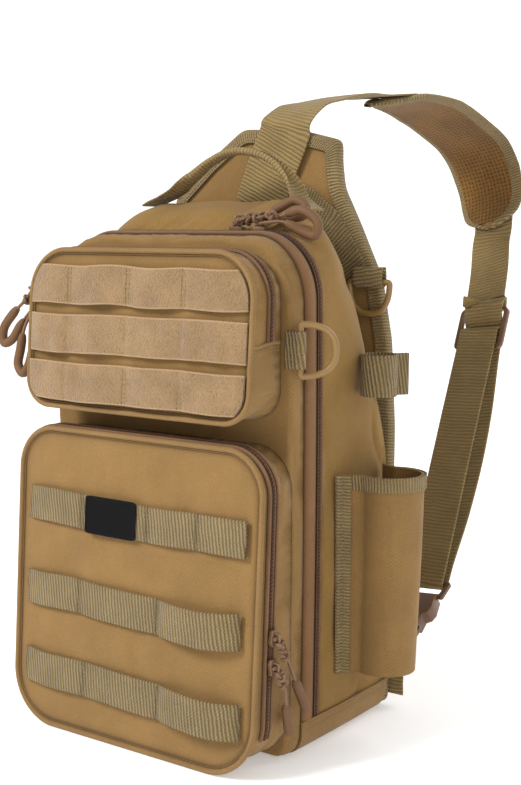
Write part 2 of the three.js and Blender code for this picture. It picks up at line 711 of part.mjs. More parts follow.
// The height at which the handle's webbing lies on the top.
function handleSeat(x) {
  const edges = [-0.5, -0.25, 0, 0.25, 0.5].map((share) => topAt(handleY + share * handleWidth, x));
  return Math.max(...edges) + gap * 2 + webWall / 2;
}
const handlePoints = smooth(
  handlePath.map(({ across, rise }) => {
    const x = (across * bodyWidth) / 2;
    return new THREE.Vector3(x, handleY, handleSeat(x) + rise * handleRise);
  }),
  26,
);
const handleSize = (i) => {
  const along = (i / (handlePoints.length - 1)) * (handlePath.length - 1);
  const { fold } = rowAt(handlePath.map((row, step) => ({ ...row, step })), "step", along);
  return { width: mix(handleWidth, handleWidth * 0.5, fold), wall: mix(webWall, webWall * 4, fold) };
};
add("grab_handle", ribbon(handlePoints, new THREE.Vector3(0, 1, 0), handleSize), materials.tape);

// Shoulder strap

const strapPoint = ({ side, back, up }) =>
  new THREE.Vector3((side * bodyWidth) / 2, back * strapReach, up * strapRise);
const twist = THREE.MathUtils.degToRad(strapTwist);
const strapAcross = new THREE.Vector3(Math.cos(twist), -Math.sin(twist), 0);

// Places along the pad: centre, the ways of its width and its outer face, and its half width.
const padSteps = 24;
const padCurve = new THREE.CatmullRomCurve3(padPath.map(strapPoint), false, "centripetal");
const padStations = padCurve.getPoints(padSteps).map((at, i) => {
  const t = i / padSteps;
  const tangent = padCurve.getTangent(t);
  const across = strapAcross.clone().addScaledVector(tangent, -strapAcross.dot(tangent)).normalize();
  const { wide, tilt } = rowAt(padPath.map((r, n) => ({ ...r, step: n })), "step", t * (padPath.length - 1));
  across.addScaledVector(across.clone().cross(tangent), tilt).normalize();
  return { at, tangent, across, outer: across.clone().cross(tangent), half: (wide * padWidth) / 2 };
});
const padPoint = ({ at, across, outer }, u, v) => at.clone().addScaledVector(across, u).addScaledVector(outer, v);

// The pad: full in the middle and thin at its edges, inside the binding.
const padEdge = gap + padBindingWall;
const padRings = padStations.map((s) => {
  const half = s.half - padEdge;
  const [thick, thin] = [padThickness / 2, padThickness / 4];
  return [
    padPoint(s, -half, -thin), padPoint(s, -half * 0.7, -thick), padPoint(s, half * 0.7, -thick),
    padPoint(s, half, -thin), padPoint(s, half, thin), padPoint(s, half * 0.7, thick),
    padPoint(s, -half * 0.7, thick), padPoint(s, -half, thin),
  ];
});
add("shoulder_pad", skin(padRings), materials.cloth);

const meshStations = padStations.slice(2, -1);
const meshRings = meshStations.map((s) => {
  const half = (s.half - padEdge) * 0.68;
  const near = -padThickness / 2 - gap;
  return [
    padPoint(s, -half, near), padPoint(s, half, near),
    padPoint(s, half * 0.96, near - padMeshWall), padPoint(s, -half * 0.96, near - padMeshWall),
  ];
});
add("shoulder_pad_mesh", skin(meshRings), materials.mesh);

// The pad's binding runs down one edge, round the end and up the other edge.
const first = padStations[0];
const final = padStations[padSteps];
const endStation = (s, beyond) => ({ ...s, at: s.at.clone().addScaledVector(s.tangent, beyond) });
const edgePath = [
  ...padStations.map((s) => ({ s, u: s.half, way: s.across })),
  { s: endStation(final, padEdge * 0.9), u: final.half - padEdge, way: final.tangent },
  { s: endStation(final, padEdge * 0.9), u: padEdge - final.half, way: final.tangent },
  ...padStations.map((s) => ({ s, u: -s.half, way: s.across.clone().negate() })).reverse(),
  { s: endStation(first, -padEdge * 0.9), u: padEdge - first.half, way: first.tangent.clone().negate() },
  { s: endStation(first, -padEdge * 0.9), u: first.half - padEdge, way: first.tangent.clone().negate() },
];
const edgeRings = edgePath.map(({ s, u, way }) => {
  const corner = (out, v) => padPoint(s, u, v).addScaledVector(way, out);
  const tall = padThickness * 0.42;
  return [corner(-padBindingWall, -tall), corner(0, -tall), corner(0, tall), corner(-padBindingWall, tall)];
});
add("shoulder_pad_binding", skin(edgeRings, true), materials.tape);

// Webbing from the yoke to the pad
const yokeWebPoints = smooth(yokeWebPath.map(strapPoint), 24);
const yokeWebSize = { width: yokeWebWidth, wall: webWall };
const yokeWebTurn = 0.15;
const yokeWebLean = 0.42;
const yokeWebAcross = (i) => {
  const behind = Math.min(1, Math.max(0, (yokeWebPoints[i].y - legRear) / (yokeWebTurn * strapReach)));
  const above = Math.min(1, Math.max(0, (bodyHeight + yokeRise - yokeWebPoints[i].z) / yokeRise));
  const way = new THREE.Vector3(1, 0, 0).lerp(strapAcross, behind);
  way.z -= yokeWebLean * above * (1 - behind);
  return way;
};
const yokeWeb = ribbon(yokeWebPoints, yokeWebAcross, yokeWebSize);
add("yoke_webbing", above(yokeWeb, bodyHeight + crownRise + gap), materials.tape);

// The doubled webbing between the adjuster and the lower buckle
const adjuster = strapPoint(adjusterAt);
const lowerBar = strapPoint(buckleAt);
const lineDown = lowerBar.clone().sub(adjuster);
const lineLength = lineDown.length();
lineDown.normalize();
const lineAcross = strapAcross.clone().addScaledVector(lineDown, -strapAcross.dot(lineDown)).normalize();
const lineOut = lineDown.clone().cross(lineAcross);
if (lineOut.y < 0) lineOut.negate();
const beside = (down, out) => adjuster.clone().addScaledVector(lineDown, down).addScaledVector(lineOut, out);
const doubled = ({ down, near, out }) => beside(down * lineLength + near * strapWebWall, out * strapWebWall);
const turnRound = (centre, from, to, steps) => {
  const points = [];
  for (let i = 0; i <= steps; i++) {
    const angle = mix(from, to, i / steps);
    points.push(beside(centre + foldRadius * Math.sin(angle), foldRadius * Math.cos(angle)));
  }
  return points;
};
const webOnPad = padThickness / 2 + gap * 5 + strapWebWall / 2;
const stationsUnderWeb = 7;
const lowerWebRoute = [
  ...padStations.slice(-stationsUnderWeb).map((s) => padPoint(s, 0, webOnPad)),
  ...strapUpperPath.map(strapPoint),
  ...doubledWeb.map(doubled),
  ...turnRound(lineLength, 0, Math.PI, 6),
  ...returnWeb.map(doubled),
  ...turnRound(0, Math.PI, 2 * Math.PI, 6),
];
const lowerWebPoints = smooth(lowerWebRoute, 78);
const lowerWeb = ribbon(lowerWebPoints, lineAcross, { width: strapWebWidth, wall: strapWebWall });
add("strap_webbing", lowerWeb, materials.tape);

// A flat plate with slots, set in the ways of the strap: its X lies across, its Y along, its Z outwards.
function plate(shape, thickness, at, across, along) {
  const out = across.clone().cross(along);
  const body = new THREE.ExtrudeGeometry(shape, { depth: thickness, bevelEnabled: false, curveSegments: 2 });
  body.translate(0, 0, -thickness / 2);
  body.applyMatrix4(new THREE.Matrix4().makeBasis(across, along, out).setPosition(at));
  return solidOf(body);
}

// A rectangle with round corners, as a path to draw or to cut.
function roundedPath(Kind, width, low, high, radius) {
  const half = width / 2;
  const path = new Kind();
  path.moveTo(half - radius, low);
  path.absarc(half - radius, low + radius, radius, -Math.PI / 2, 0);
  path.absarc(half - radius, high - radius, radius, 0, Math.PI / 2);
  path.absarc(radius - half, high - radius, radius, Math.PI / 2, Math.PI);
  path.absarc(radius - half, low + radius, radius, Math.PI, 1.5 * Math.PI);
  path.closePath();
  return path;
}

// The adjuster: a frame with a bar across it
const slotWidth = strapWebWidth + 2;
const upperSlot = 10 * strapWebWall;
const lowerSlot = 6 * strapWebWall;
const halfBar = barThickness / 2;
const slotCorner = barThickness * 0.47;
const adjusterLow = -halfBar - upperSlot - barThickness;
const adjusterHigh = halfBar + lowerSlot + barThickness;
const adjusterFrame = roundedPath(THREE.Shape, buckleWidth, adjusterLow, adjusterHigh, barThickness * 1.56);
adjusterFrame.holes.push(roundedPath(THREE.Path, slotWidth, -halfBar - upperSlot, -halfBar, slotCorner));
adjusterFrame.holes.push(roundedPath(THREE.Path, slotWidth, halfBar, halfBar + lowerSlot, slotCorner));
const adjusterPlate = plate(adjusterFrame, barThickness, adjuster, lineAcross, lineDown);
add("strap_adjuster", adjusterPlate, materials.brownPlastic);

// The lower buckle: a barred frame that clips into a housing, held by a webbing tab on the back panel
const tabPoint = strapPoint(tabAt);
const buckleAcross = lineAcross;
const toTab = tabPoint.clone().sub(lowerBar);
const buckleAlong = toTab.addScaledVector(buckleAcross, -toTab.dot(buckleAcross)).normalize();
const frameLength = buckleWidth * 0.3125;
const housingLength = buckleWidth * 0.667;
const clipFrame = roundedPath(THREE.Shape, buckleWidth, -halfBar, frameLength, halfBar);
clipFrame.holes.push(roundedPath(THREE.Path, slotWidth, halfBar, frameLength - barThickness, slotCorner));
const clipPlate = plate(clipFrame, barThickness, lowerBar, buckleAcross, buckleAlong);
add("buckle_clip", clipPlate, materials.brownPlastic);
const housingStart = frameLength + gap;
const housing = new THREE.Shape();
const housingRows = [
  { along: 0, half: 0.42 }, { along: 0.2, half: 0.46 }, { along: 0.42, half: 0.5 },
  { along: 0.6, half: 0.48 }, { along: 0.68, half: 0.4 }, { along: 1, half: 0.42 },
];
const housingEdge = (hand) => {
  const y = (row) => housingStart + row.along * housingLength;
  return housingRows.map((row) => new THREE.Vector2(hand * row.half * buckleWidth, y(row)));
};
housing.setFromPoints([...housingEdge(1), ...housingEdge(-1).reverse()]);
const housingBody = plate(housing, buckleThickness, lowerBar, buckleAcross, buckleAlong);
const tabSlot = barThickness * 2.5;
const housingEnd = housingStart + housingLength;
const tabFrameEnd = housingEnd + tabSlot + barThickness;
const tabFrame = roundedPath(THREE.Shape, buckleWidth * 0.9, housingEnd - 1, tabFrameEnd, halfBar * 0.9);
tabFrame.holes.push(roundedPath(THREE.Path, slotWidth - 1, housingEnd + 0.5, housingEnd + tabSlot, 1));
const tabFrameBody = plate(tabFrame, barThickness, lowerBar, buckleAcross, buckleAlong);
add("buckle_housing", housingBody.add(tabFrameBody), materials.brownPlastic);

// The tab: webbing round the housing's bar, both layers running to the back panel
const tabBar = housingEnd + tabSlot + barThickness / 2;
const buckleOut = buckleAcross.clone().cross(buckleAlong);
if (buckleOut.z < 0) buckleOut.negate();
const tabSpot = (along, out) =>
  lowerBar.clone().addScaledVector(buckleAlong, along).addScaledVector(buckleOut, out);
const tabSeat = legRear + gap * 3.5 + strapWebWall / 2;
const tabFootX = tabSpot(tabBar, 0).x;
const tabFoot = (z) => new THREE.Vector3(tabFootX, tabSeat, z);
const tabRoute = [
  tabFoot(tabPoint.z * 1.6),
  tabFoot(tabPoint.z * 1.25),
  tabSpot(tabBar + 5.5, 3.1),
  tabSpot(tabBar, foldRadius),
  tabSpot(tabBar - foldRadius * 0.75, foldRadius * 0.75),
  tabSpot(tabBar - foldRadius, 0),
  tabSpot(tabBar - foldRadius * 0.75, -foldRadius * 0.75),
  tabSpot(tabBar, -foldRadius),
  tabSpot(tabBar + 5.5, -3.1),
  tabFoot(tabPoint.z * 0.55),
  tabFoot(tabPoint.z * 0.2),
];
const tabWidth = strapWebWidth - 2;
const tabSteps = 36;
const tabAcross = (i) => {
  const inwards = (Math.min(i, tabSteps - i) / tabSteps) * (tabRoute.length - 1);
  return new THREE.Vector3(1, 0, 0).lerp(buckleAcross, Math.min(1, Math.max(0, inwards - 1)));
};
const tabSize = { width: tabWidth, wall: strapWebWall };
add("buckle_tab", ribbon(smooth(tabRoute, tabSteps), tabAcross, tabSize), materials.tape);

// D-rings: a straight bar and a bow of the same wire, drawn in a plane with the bar along its Y
function dRing() {
  const half = (dRingSpan - dRingWire) / 2;
  const reach = dRingDepth - dRingWire;
  const bow = 9;
  const points = [];
  for (let i = 0; i <= bow; i++) {
    const angle = mix(-Math.PI / 2, Math.PI / 2, i / bow);
    const flat = (n) => Math.sign(n) * Math.abs(n) ** 0.8;
    points.push(new THREE.Vector3(reach * flat(Math.cos(angle)), half * flat(Math.sin(angle)), 0));
  }
  points.push(new THREE.Vector3(0, half * 0.4, 0), new THREE.Vector3(0, -half * 0.4, 0));
  const sides = 6;
  const rings = points.map((at, i) => {
    const before = points[(i + points.length - 1) % points.length];
    const tangent = points[(i + 1) % points.length].clone().sub(before).normalize();
    const out = tangent.clone().cross(new THREE.Vector3(0, 0, 1));
    return Array.from({ length: sides }, (_, k) => {
      const angle = ((k + 0.5) / sides) * 2 * Math.PI;
      const ring = at.clone().addScaledVector(out, (dRingWire / 2) * Math.cos(angle));
      return ring.add(new THREE.Vector3(0, 0, (dRingWire / 2) * Math.sin(angle)));
    });
  });
  return skin(rings, true);
}

// Sets a drawn solid at a place, with its X, Y and Z turned to three ways.
function placed(solid, at, x, y, z) {
  const m = new THREE.Matrix4().makeBasis(x, y, z).setPosition(at);
  return solid.transform(m.toArray());
}

// A webbing loop folded round a bar: its two layers run from the bar to where they are sewn, each by its own
// reach.
function foldedLoop(bar, away, out, across, runs, pinch) {
  const radius = dRingWire / 2 + gap + webWall / 2;
  const layer = (share, side) => {
    const reach = runs[side > 0 ? 0 : 1] * share;
    const apart = side * radius * mix(1, pinch, Math.max(0, 2 * share - 1));
    return bar.clone().addScaledVector(away, reach).addScaledVector(out, apart);
  };
  const points = [layer(1, 1), layer(0.5, 1)];
  const turn = 6;
  for (let i = 0; i <= turn; i++) {
    const angle = (i / turn) * Math.PI;
    const round = bar.clone().addScaledVector(out, radius * Math.cos(angle));
    points.push(round.addScaledVector(away, -radius * Math.sin(angle)));
  }
  points.push(layer(0.5, -1), layer(1, -1));
  return ribbon(points, across, { width: dRingWebWidth, wall: webWall });
}

// The side rings hang from loops that come out of the front panel's seam.
const sideRingZ = 0.787 * bodyHeight;
const sideRingTurn = THREE.MathUtils.degToRad(34);
const sideRingRuns = [9.5, 3.6];
const sideRingX = 1.052 * (bodyWidth / 2);
const sideRingY = shellFace + webWall;
for (const [name, hand] of [["right", 1], ["left", -1]]) {
  const bar = new THREE.Vector3(hand * sideRingX, sideRingY, sideRingZ);
  const out = new THREE.Vector3(hand * Math.cos(sideRingTurn), Math.sin(sideRingTurn), 0);
  const up = new THREE.Vector3(0, 0, 1);
  add("d_ring_" + name, placed(dRing(), bar, out, up, out.clone().cross(up)), materials.tanPlastic);
  const inwards = new THREE.Vector3(-hand, 0, 0);
  const loop = foldedLoop(bar, inwards, new THREE.Vector3(0, -1, 0), up, sideRingRuns, 0.9);
  add("d_ring_loop_" + name, loop, materials.tape);
}

// The yoke's ring: a diagonal webbing patch in front of the yoke, with a tab that holds the ring
const patchY = legFront + webWall / 2;
const patchLift = webWall + gap;
const patchRoute = [
  { across: 0.22, up: 1, over: 0.33, lift: 0 },
  { across: 0.3, up: 1, over: 0.275, lift: 0 },
  { across: 0.385, up: 1, over: 0.205, lift: 1 },
  { across: 0.5, up: 1, over: 0.105, lift: 1 },
  { across: 0.66, up: 0.985, over: 0, lift: 1 },
  { across: 0.83, up: 0.938, over: 0, lift: 1 },
];
const patchPoints = patchRoute.map(({ across, up, over, lift }) => {
  const z = up * bodyHeight + over * yokeRise;
  return new THREE.Vector3((across * bodyWidth) / 2, patchY - lift * patchLift, z);
});
const patchAcross = new THREE.Vector3(0.45, 0, 1).normalize();
add("yoke_patch", ribbon(patchPoints, patchAcross, { width: rowWebWidth, wall: webWall }), materials.tape);
const loopRadius = dRingWire / 2 + gap + webWall;
const yokeRingY = patchY - patchLift - webWall / 2 - loopRadius - gap;
const yokeRing = new THREE.Vector3(0.42 * bodyWidth, yokeRingY, 0.9 * bodyHeight);
const yokeRingRuns = [11, 11];
const yokeDown = new THREE.Vector3(0, 0, -1);
const yokeBar = new THREE.Vector3(1, 0, 0);
const yokeRingSide = yokeDown.clone().cross(yokeBar);
add("d_ring_yoke", placed(dRing(), yokeRing, yokeDown, yokeBar, yokeRingSide), materials.tanPlastic);
const [yokeUp, yokeFront] = [new THREE.Vector3(0, 0, 1), new THREE.Vector3(0, -1, 0)];
const yokeLoop = foldedLoop(yokeRing, yokeUp, yokeFront, yokeBar, yokeRingRuns, 0.75);
add("d_ring_loop_yoke", yokeLoop, materials.tape);

// Rod sleeve: a cloth tube sewn to the side, open above and below
const sleeveY = 3;
const sleeveSpread = 30;
const sleeveLevels = 3;
const sleeveTurn = 10;
function sleeveSection(z, grow) {
  const taper = mix(0.92, 1, (z - sleeveLow) / (sleeveHigh - sleeveLow));
  const points = [];
  const foot = (k) => {
    const y = sleeveY + k * (sleeveSpread * taper + grow * 0.4);
    return new THREE.Vector2(sideAt(sleeveY, z) + gap + sleeveWall * 0.02, y);
  };
  const centre = sideAt(sleeveY, z) + gap + sleeveRadius * taper;
  points.push(foot(-1));
  for (let i = 0; i <= sleeveTurn; i++) {
    const angle = THREE.MathUtils.degToRad(sleeveSpan * (i / sleeveTurn - 0.5));
    const radius = (sleeveRadius + grow) * taper;
    points.push(new THREE.Vector2(centre + radius * Math.cos(angle), sleeveY + radius * Math.sin(angle)));
  }
  points.push(foot(1));
  return points;
}
function sleeveShell(low, high, inner, outer) {
  const rings = [];
  for (let i = 0; i <= sleeveLevels; i++) {
    const z = mix(low, high, i / sleeveLevels);
    const ring = [...sleeveSection(z, outer), ...sleeveSection(z, inner).reverse()];
    rings.push(ring.map((p) => new THREE.Vector3(p.x, p.y, z)));
  }
  return skin(rings);
}
add("rod_sleeve", sleeveShell(sleeveLow, sleeveHigh, -sleeveWall, 0), materials.cloth);

// The front tape lies from a flange on the bag's side to the sleeve's front seam, where the top tape starts.
const frontTapeShare = 0.85;
const tapeRings = (low, high, pick) => {
  const rings = [];
  for (let i = 0; i <= sleeveLevels; i++) {
    const z = mix(low, high, i / sleeveLevels);
    const inner = pick(sleeveSection(z, gap * 1.2), 0);
    const outer = pick(sleeveSection(z, gap * 1.2 + tapeWall), tapeWall);
    rings.push([...outer, ...inner.reverse()].map((p) => new THREE.Vector3(p.x, p.y, z)));
  }
  return rings;
};
const frontTape = skin(tapeRings(sleeveLow, sleeveHigh + gap, ([foot, seam], wall) => {
  const end = foot.clone().lerp(seam, frontTapeShare);
  return [new THREE.Vector2(foot.x + wall, foot.y - sleeveFlange), foot.clone().setX(foot.x + wall), end];
}));
add("rod_sleeve_front_tape", frontTape, materials.tape);
const topTape = skin(tapeRings(sleeveHigh - sleeveTopTape, sleeveHigh + gap, (points) => points.slice(1)));
add("rod_sleeve_top_tape", topTape, materials.tape);

// Rod loop: a webbing ring whose two ends close on each other as a short tail
const rodLoopCentre = new THREE.Vector3(0, 4, rodLoopLow + rodLoopHeight / 2);
rodLoopCentre.x = sideAt(rodLoopCentre.y, rodLoopCentre.z) + gap * 2.5 + rodLoopRadius;
const tailTurn = THREE.MathUtils.degToRad(62);
const loopPoints = [];
const loopSteps = 18;
const endsApart = (gap * 2 + webWall) / 2;
const tailWay = new THREE.Vector3(Math.cos(tailTurn), Math.sin(tailTurn), 0);
const tailSide = new THREE.Vector3(-tailWay.y, tailWay.x, 0);
const openAngle = Math.asin((endsApart + 1) / (rodLoopRadius - webWall / 2));
for (const reach of [rodLoopTail, rodLoopTail * 0.5, 1.5]) {
  const spot = rodLoopCentre.clone().addScaledVector(tailWay, rodLoopRadius + reach);
  loopPoints.push(spot.addScaledVector(tailSide, endsApart));
}
for (let i = 0; i <= loopSteps; i++) {
  const angle = tailTurn + mix(openAngle, 2 * Math.PI - openAngle, i / loopSteps);
  const way = new THREE.Vector3(Math.cos(angle), Math.sin(angle), 0);
  loopPoints.push(rodLoopCentre.clone().addScaledVector(way, rodLoopRadius - webWall / 2));
}
for (const reach of [1.5, rodLoopTail * 0.5, rodLoopTail]) {
  const spot = rodLoopCentre.clone().addScaledVector(tailWay, rodLoopRadius + reach);
  loopPoints.push(spot.addScaledVector(tailSide, -endsApart));
}
const rodLoop = ribbon(loopPoints, new THREE.Vector3(0, 0, 1), { width: rodLoopHeight, wall: webWall });
add("rod_loop", rodLoop, materials.tape);

// Zip sliders and pulls

// A slider: a wedge-shaped body with a small bridge that the pull passes through.
const sliderWidth = 8;
const sliderLength = 11;
const sliderHeight = 3;
function slider(at, along, out) {
  const across = along.clone().cross(out).normalize();
  const shape = new THREE.Shape();
  const [nose, half] = [sliderWidth * 0.3, sliderWidth / 2];
  shape.setFromPoints([
    new THREE.Vector2(-nose, -sliderLength / 2), new THREE.Vector2(nose, -sliderLength / 2),
    new THREE.Vector2(half, sliderLength / 4), new THREE.Vector2(nose, sliderLength / 2),
    new THREE.Vector2(-nose, sliderLength / 2), new THREE.Vector2(-half, sliderLength / 4),
  ]);
  const seat = at.clone().addScaledVector(out, gap + sliderHeight / 2);
  const body = plate(shape, sliderHeight, seat, across, along);
  const bridge = new THREE.Shape();
  const arch = (reach, tall) => [
    new THREE.Vector2(-reach, 0), new THREE.Vector2(-reach * 0.8, tall),
    new THREE.Vector2(reach * 0.8, tall), new THREE.Vector2(reach, 0),
  ];
  bridge.setFromPoints([...arch(4.2, 4.6), ...arch(2.8, 3.2).reverse()]);
  const top = at.clone().addScaledVector(out, gap + sliderHeight - 0.2);
  const bridgeBody = plate(bridge, 2, top, along, out);
  return body.add(bridgeBody);
}

// A round section along points, with a radius at each; a loop joins its ends.
function roundSweep(points, radii, loop) {
  const sides = 6;
  const count = points.length;
  const centre = points.reduce((sum, p) => sum.add(p), new THREE.Vector3()).divideScalar(count);
  const normal = new THREE.Vector3();
  const spokes = points.map((p) => p.clone().sub(centre));
  spokes.forEach((spoke, i) => normal.add(spoke.clone().cross(spokes[(i + 1) % count])));
  normal.normalize();
  const rings = points.map((at, i) => {
    const before = loop ? points[(i + count - 1) % count] : points[Math.max(i - 1, 0)];
    const after = loop ? points[(i + 1) % count] : points[Math.min(i + 1, count - 1)];
    const tangent = after.clone().sub(before).normalize();
    const out = tangent.clone().cross(normal).normalize();
    const over = out.clone().cross(tangent).normalize();
    return Array.from({ length: sides }, (_, k) => {
      const angle = (k / sides) * 2 * Math.PI;
      const spot = at.clone().addScaledVector(out, radii[i] * Math.cos(angle));
      return spot.addScaledVector(over, radii[i] * Math.sin(angle));
    });
  });
  return skin(rings, loop);
}

// A pull's radius along its length: a thin cord with a moulded grip between two shares of the length.
const pullCord = 1.2;
const pullGrip = 3.4;
function pullRadius(t, gripFrom, gripTo) {
  if (t <= gripFrom || t >= gripTo) return pullCord;
  const end = Math.min(1, Math.min(t - gripFrom, gripTo - t) / 0.06);
  return mix(pullCord * 1.6, pullGrip, Math.sqrt(end));
}

// A looped pull through the slider's bridge, or a straight one that ends in its grip.
function pull(route, gripFrom, gripTo, loop) {
  const steps = loop ? 20 : 14;
  const curve = new THREE.CatmullRomCurve3(route, loop, "centripetal");
  const shares = Array.from({ length: loop ? steps : steps + 1 }, (_, i) => i / steps);
  const radii = shares.map((t) => pullRadius(t, gripFrom, gripTo));
  return roundSweep(shares.map((t) => curve.getPoint(t)), radii, loop);
}

// The pulls' routes, in cord radii from the slider's bridge along X, Y and Z.
const pullRoutes = {
  main_1: {
    loop: true, from: 0.24, to: 0.8,
    route: [
      [0, -2, 0], [0, 2, 0], [11, 9, 3.8], [21, 15.5, 10.5], [29, 17, 14], [37.5, 16, 10.5], [38, 13, 5.5],
      [30, 10.5, 4], [21, 8.5, 3.8], [11, 3.5, 4.6], [5, -3, 2.7],
    ],
  },
  main_2: {
    loop: true, from: 0.24, to: 0.8,
    route: [
      [0, -2, 0], [0, 2, 0], [17, 3.5, 6], [27.5, 4, 8], [37, 5, 1], [35, 5.5, -6], [27.5, 4, -4], [17, 0, 1.3],
      [7.5, -3, 1],
    ],
  },
  upper_1: {
    loop: true, from: 0.26, to: 0.72,
    route: [
      [0, 2, 0], [0, -2, 0], [-8.5, -6, -12], [-17, -7.5, -20], [-25, -9, -31], [-24, -9.5, -39],
      [-18.5, -8.5, -37], [-12.5, -5, -26], [-4, 1.3, -12], [-1, 3, -6],
    ],
  },
  upper_2: {
    loop: true, from: 0.26, to: 0.76,
    route: [
      [0, 2, 0], [0, -2, 0], [-7.5, -6.5, -13], [-10, -9, -29], [-11, -10, -38], [-6.5, -10.5, -43],
      [-3.5, -9, -39], [-2, -6, -28], [-1.3, 0, -12], [-1, 3, -6],
    ],
  },
  lower_1: {
    loop: false, from: 0.6, to: 1.01,
    route: [[0, -2.5, 0], [0, 2.2, 0], [2, 7.5, -13], [1.7, 17, -30], [1.3, 27, -47]],
  },
  lower_2: {
    loop: false, from: 0.6, to: 1.01,
    route: [[0, -2.5, 0], [0, 2.2, 0], [1.7, 5, -10], [1.3, 8.5, -27], [1, 12, -41]],
  },
};

// Adds a slider on its zip with the pull that hangs from its bridge.
function addSlider(name, at, along, out) {
  const { loop, from, to, route } = pullRoutes[name];
  add("slider_" + name, slider(at, along, out), materials.slider);
  const eye = at.clone().addScaledVector(out, gap + sliderHeight + 1.5);
  const points = route.map(([x, y, z]) => eye.clone().addScaledVector(new THREE.Vector3(x, y, z), pullCord));
  add("pull_" + name, pull(points, from, to, loop), materials.pull);
}

// Main zip: two sliders meet near the top right corner, and their pulls lie on the top.
const mainZipY = (zipFront + zipRear) / 2;
const upwards = new THREE.Vector3(0, 0, 1);
[0.35, 0.53].forEach((across, i) => {
  const x = (across * bodyWidth) / 2;
  const at = new THREE.Vector3(x, mainZipY, topAt(mainZipY, x) + 0.8);
  addSlider("main_" + (i + 1), at, new THREE.Vector3(i === 0 ? 1 : -1, 0, 0), upwards);
});

// Pocket zips: two sliders on one side of each.
function pocketSliders(name, pocket, hand, heights) {
  const depth = (pocket.zipFrom + pocket.zipTo) / 2;
  const row = rowAt(pocketRows, "depth", depth);
  const x = hand * ((pocket.width / 2) * (1 + row.spread) + gap + tapeWall * 1.6);
  heights.forEach((share, i) => {
    const z = pocket.low + share * pocket.height;
    const at = new THREE.Vector3(x, pocketRim - depth * pocketDepth(pocket, z), z);
    const along = new THREE.Vector3(0, 0, i === 0 ? -1 : 1);
    addSlider(name + "_" + (i + 1), at, along, new THREE.Vector3(hand, 0, 0));
  });
}
pocketSliders("upper", upperPocket, -1, [0.79, 0.64]);
pocketSliders("lower", lowerPocket, 1, [0.44, 0.35]);

export default pack;
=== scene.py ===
import functools
import math

import bpy
import numpy as np
from mathutils import Matrix, Vector


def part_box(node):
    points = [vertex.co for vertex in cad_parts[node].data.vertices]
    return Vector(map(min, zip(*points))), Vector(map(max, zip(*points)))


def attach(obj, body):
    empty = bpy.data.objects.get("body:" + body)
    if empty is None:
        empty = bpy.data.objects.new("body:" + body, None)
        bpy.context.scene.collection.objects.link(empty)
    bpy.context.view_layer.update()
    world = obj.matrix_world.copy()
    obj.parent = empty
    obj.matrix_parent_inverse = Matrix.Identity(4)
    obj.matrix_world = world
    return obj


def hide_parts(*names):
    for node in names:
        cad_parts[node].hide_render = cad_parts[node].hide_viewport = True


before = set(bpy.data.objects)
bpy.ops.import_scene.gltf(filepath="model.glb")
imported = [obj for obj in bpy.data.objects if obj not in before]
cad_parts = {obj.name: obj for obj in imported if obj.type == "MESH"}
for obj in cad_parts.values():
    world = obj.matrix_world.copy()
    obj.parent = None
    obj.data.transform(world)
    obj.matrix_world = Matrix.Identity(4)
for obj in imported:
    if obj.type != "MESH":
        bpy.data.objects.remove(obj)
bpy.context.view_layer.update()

bl_info = {
    "name": "Fishing sling pack",
    "version": (1, 0, 0),
    "blender": (4, 5, 0),
    "location": "View3D > Sidebar > Sling pack",
    "description": "Builds a tan fishing sling pack with pockets, webbing rows, a padded strap and a rod sleeve",
    "category": "Object",
}

MM = 0.001
UP = np.array([0.0, 0.0, 1.0])
BACK = np.array([0.0, 1.0, 0.0])
RIGHT = np.array([1.0, 0.0, 0.0])

# Named sizes of the pack, in millimetres, the same as its solids have.
GAP = 0.3
BODY_WIDTH = 214.0
BODY_HEIGHT = 361.0
CROWN_RISE = 24.0
CLOTH_WALL = 2.6
REAR_BACK = 47.0
REAR_FRONT = -49.0
ZIP_SPAN = (-55.8, -49.3)
WELT_SPAN = (-70.6, -56.1)
SHELL_RIM = -70.9
SHELL_FACE = -84.9
POCKET_RIM = -85.2
BODY_LOW = 1.8
BASE_HEIGHT = 25.0
BASE_WALL = 1.5
PIPING = 1.9
EDGE = 4.0
SHELL_SIDE = 10.0
WEB = 25.0
THIN_WALL = 1.4
ROW_WALL = 1.8
PILE = 27.5
PILE_WALL = 2.0
ROD_WEB = 30.0
YOKE_RISE = 79.0
YOKE_WEB = 46.0
STRAP_WEB = 38.0
TAB_WEB = 36.0
STRAP_WALL = 1.8
PAD_HALF = 34.0
HANDLE_RISE = 34.0
HANDLE_Y = 5.0
BACK_FACE = 58.0
BAR = 3.2
BUCKLE_FRAME = 15.0
HOUSING = 32.0
TAB_SLOT = 8.0
PANEL_MIDDLE = 52.65
TAPE_HALF = 5.35
RING_BAR = 2.3
LABEL = (47.0, 27.0)
SLEEVE_LOW = 49.1
SLEEVE_HIGH = 192.05
SLEEVE_Y = 3.0
SLEEVE_RADIUS = 24.0
SLEEVE_TURN = 112
SLEEVE_REACH = 30.0
ROD_LOOP = (12.3, 4.0, 261.02)

# Sections of the bag from its front panel (along 0) to its back (along 1), as shares of its sizes.
BODY_SECTIONS = {
    "along": [0.0, 0.27, 0.46, 0.72, 1.0],
    "rise": [-0.15, 0.0, 0.66, 1.0, 1.0],
    "right_x": [0.19, 0.19, 0.22, 0.34, 0.475],
    "right_z": [0.125, 0.125, 0.18, 0.38, 0.6],
    "power": [2.0, 2.0, 2.0, 1.75, 1.5],
    "left_x": [0.19, 0.19, 0.19, 0.17, 0.15],
    "left_z": [0.125, 0.125, 0.13, 0.12, 0.1],
    "spread": [-0.006, 0.0, 0.004, 0.004, -0.006],
}

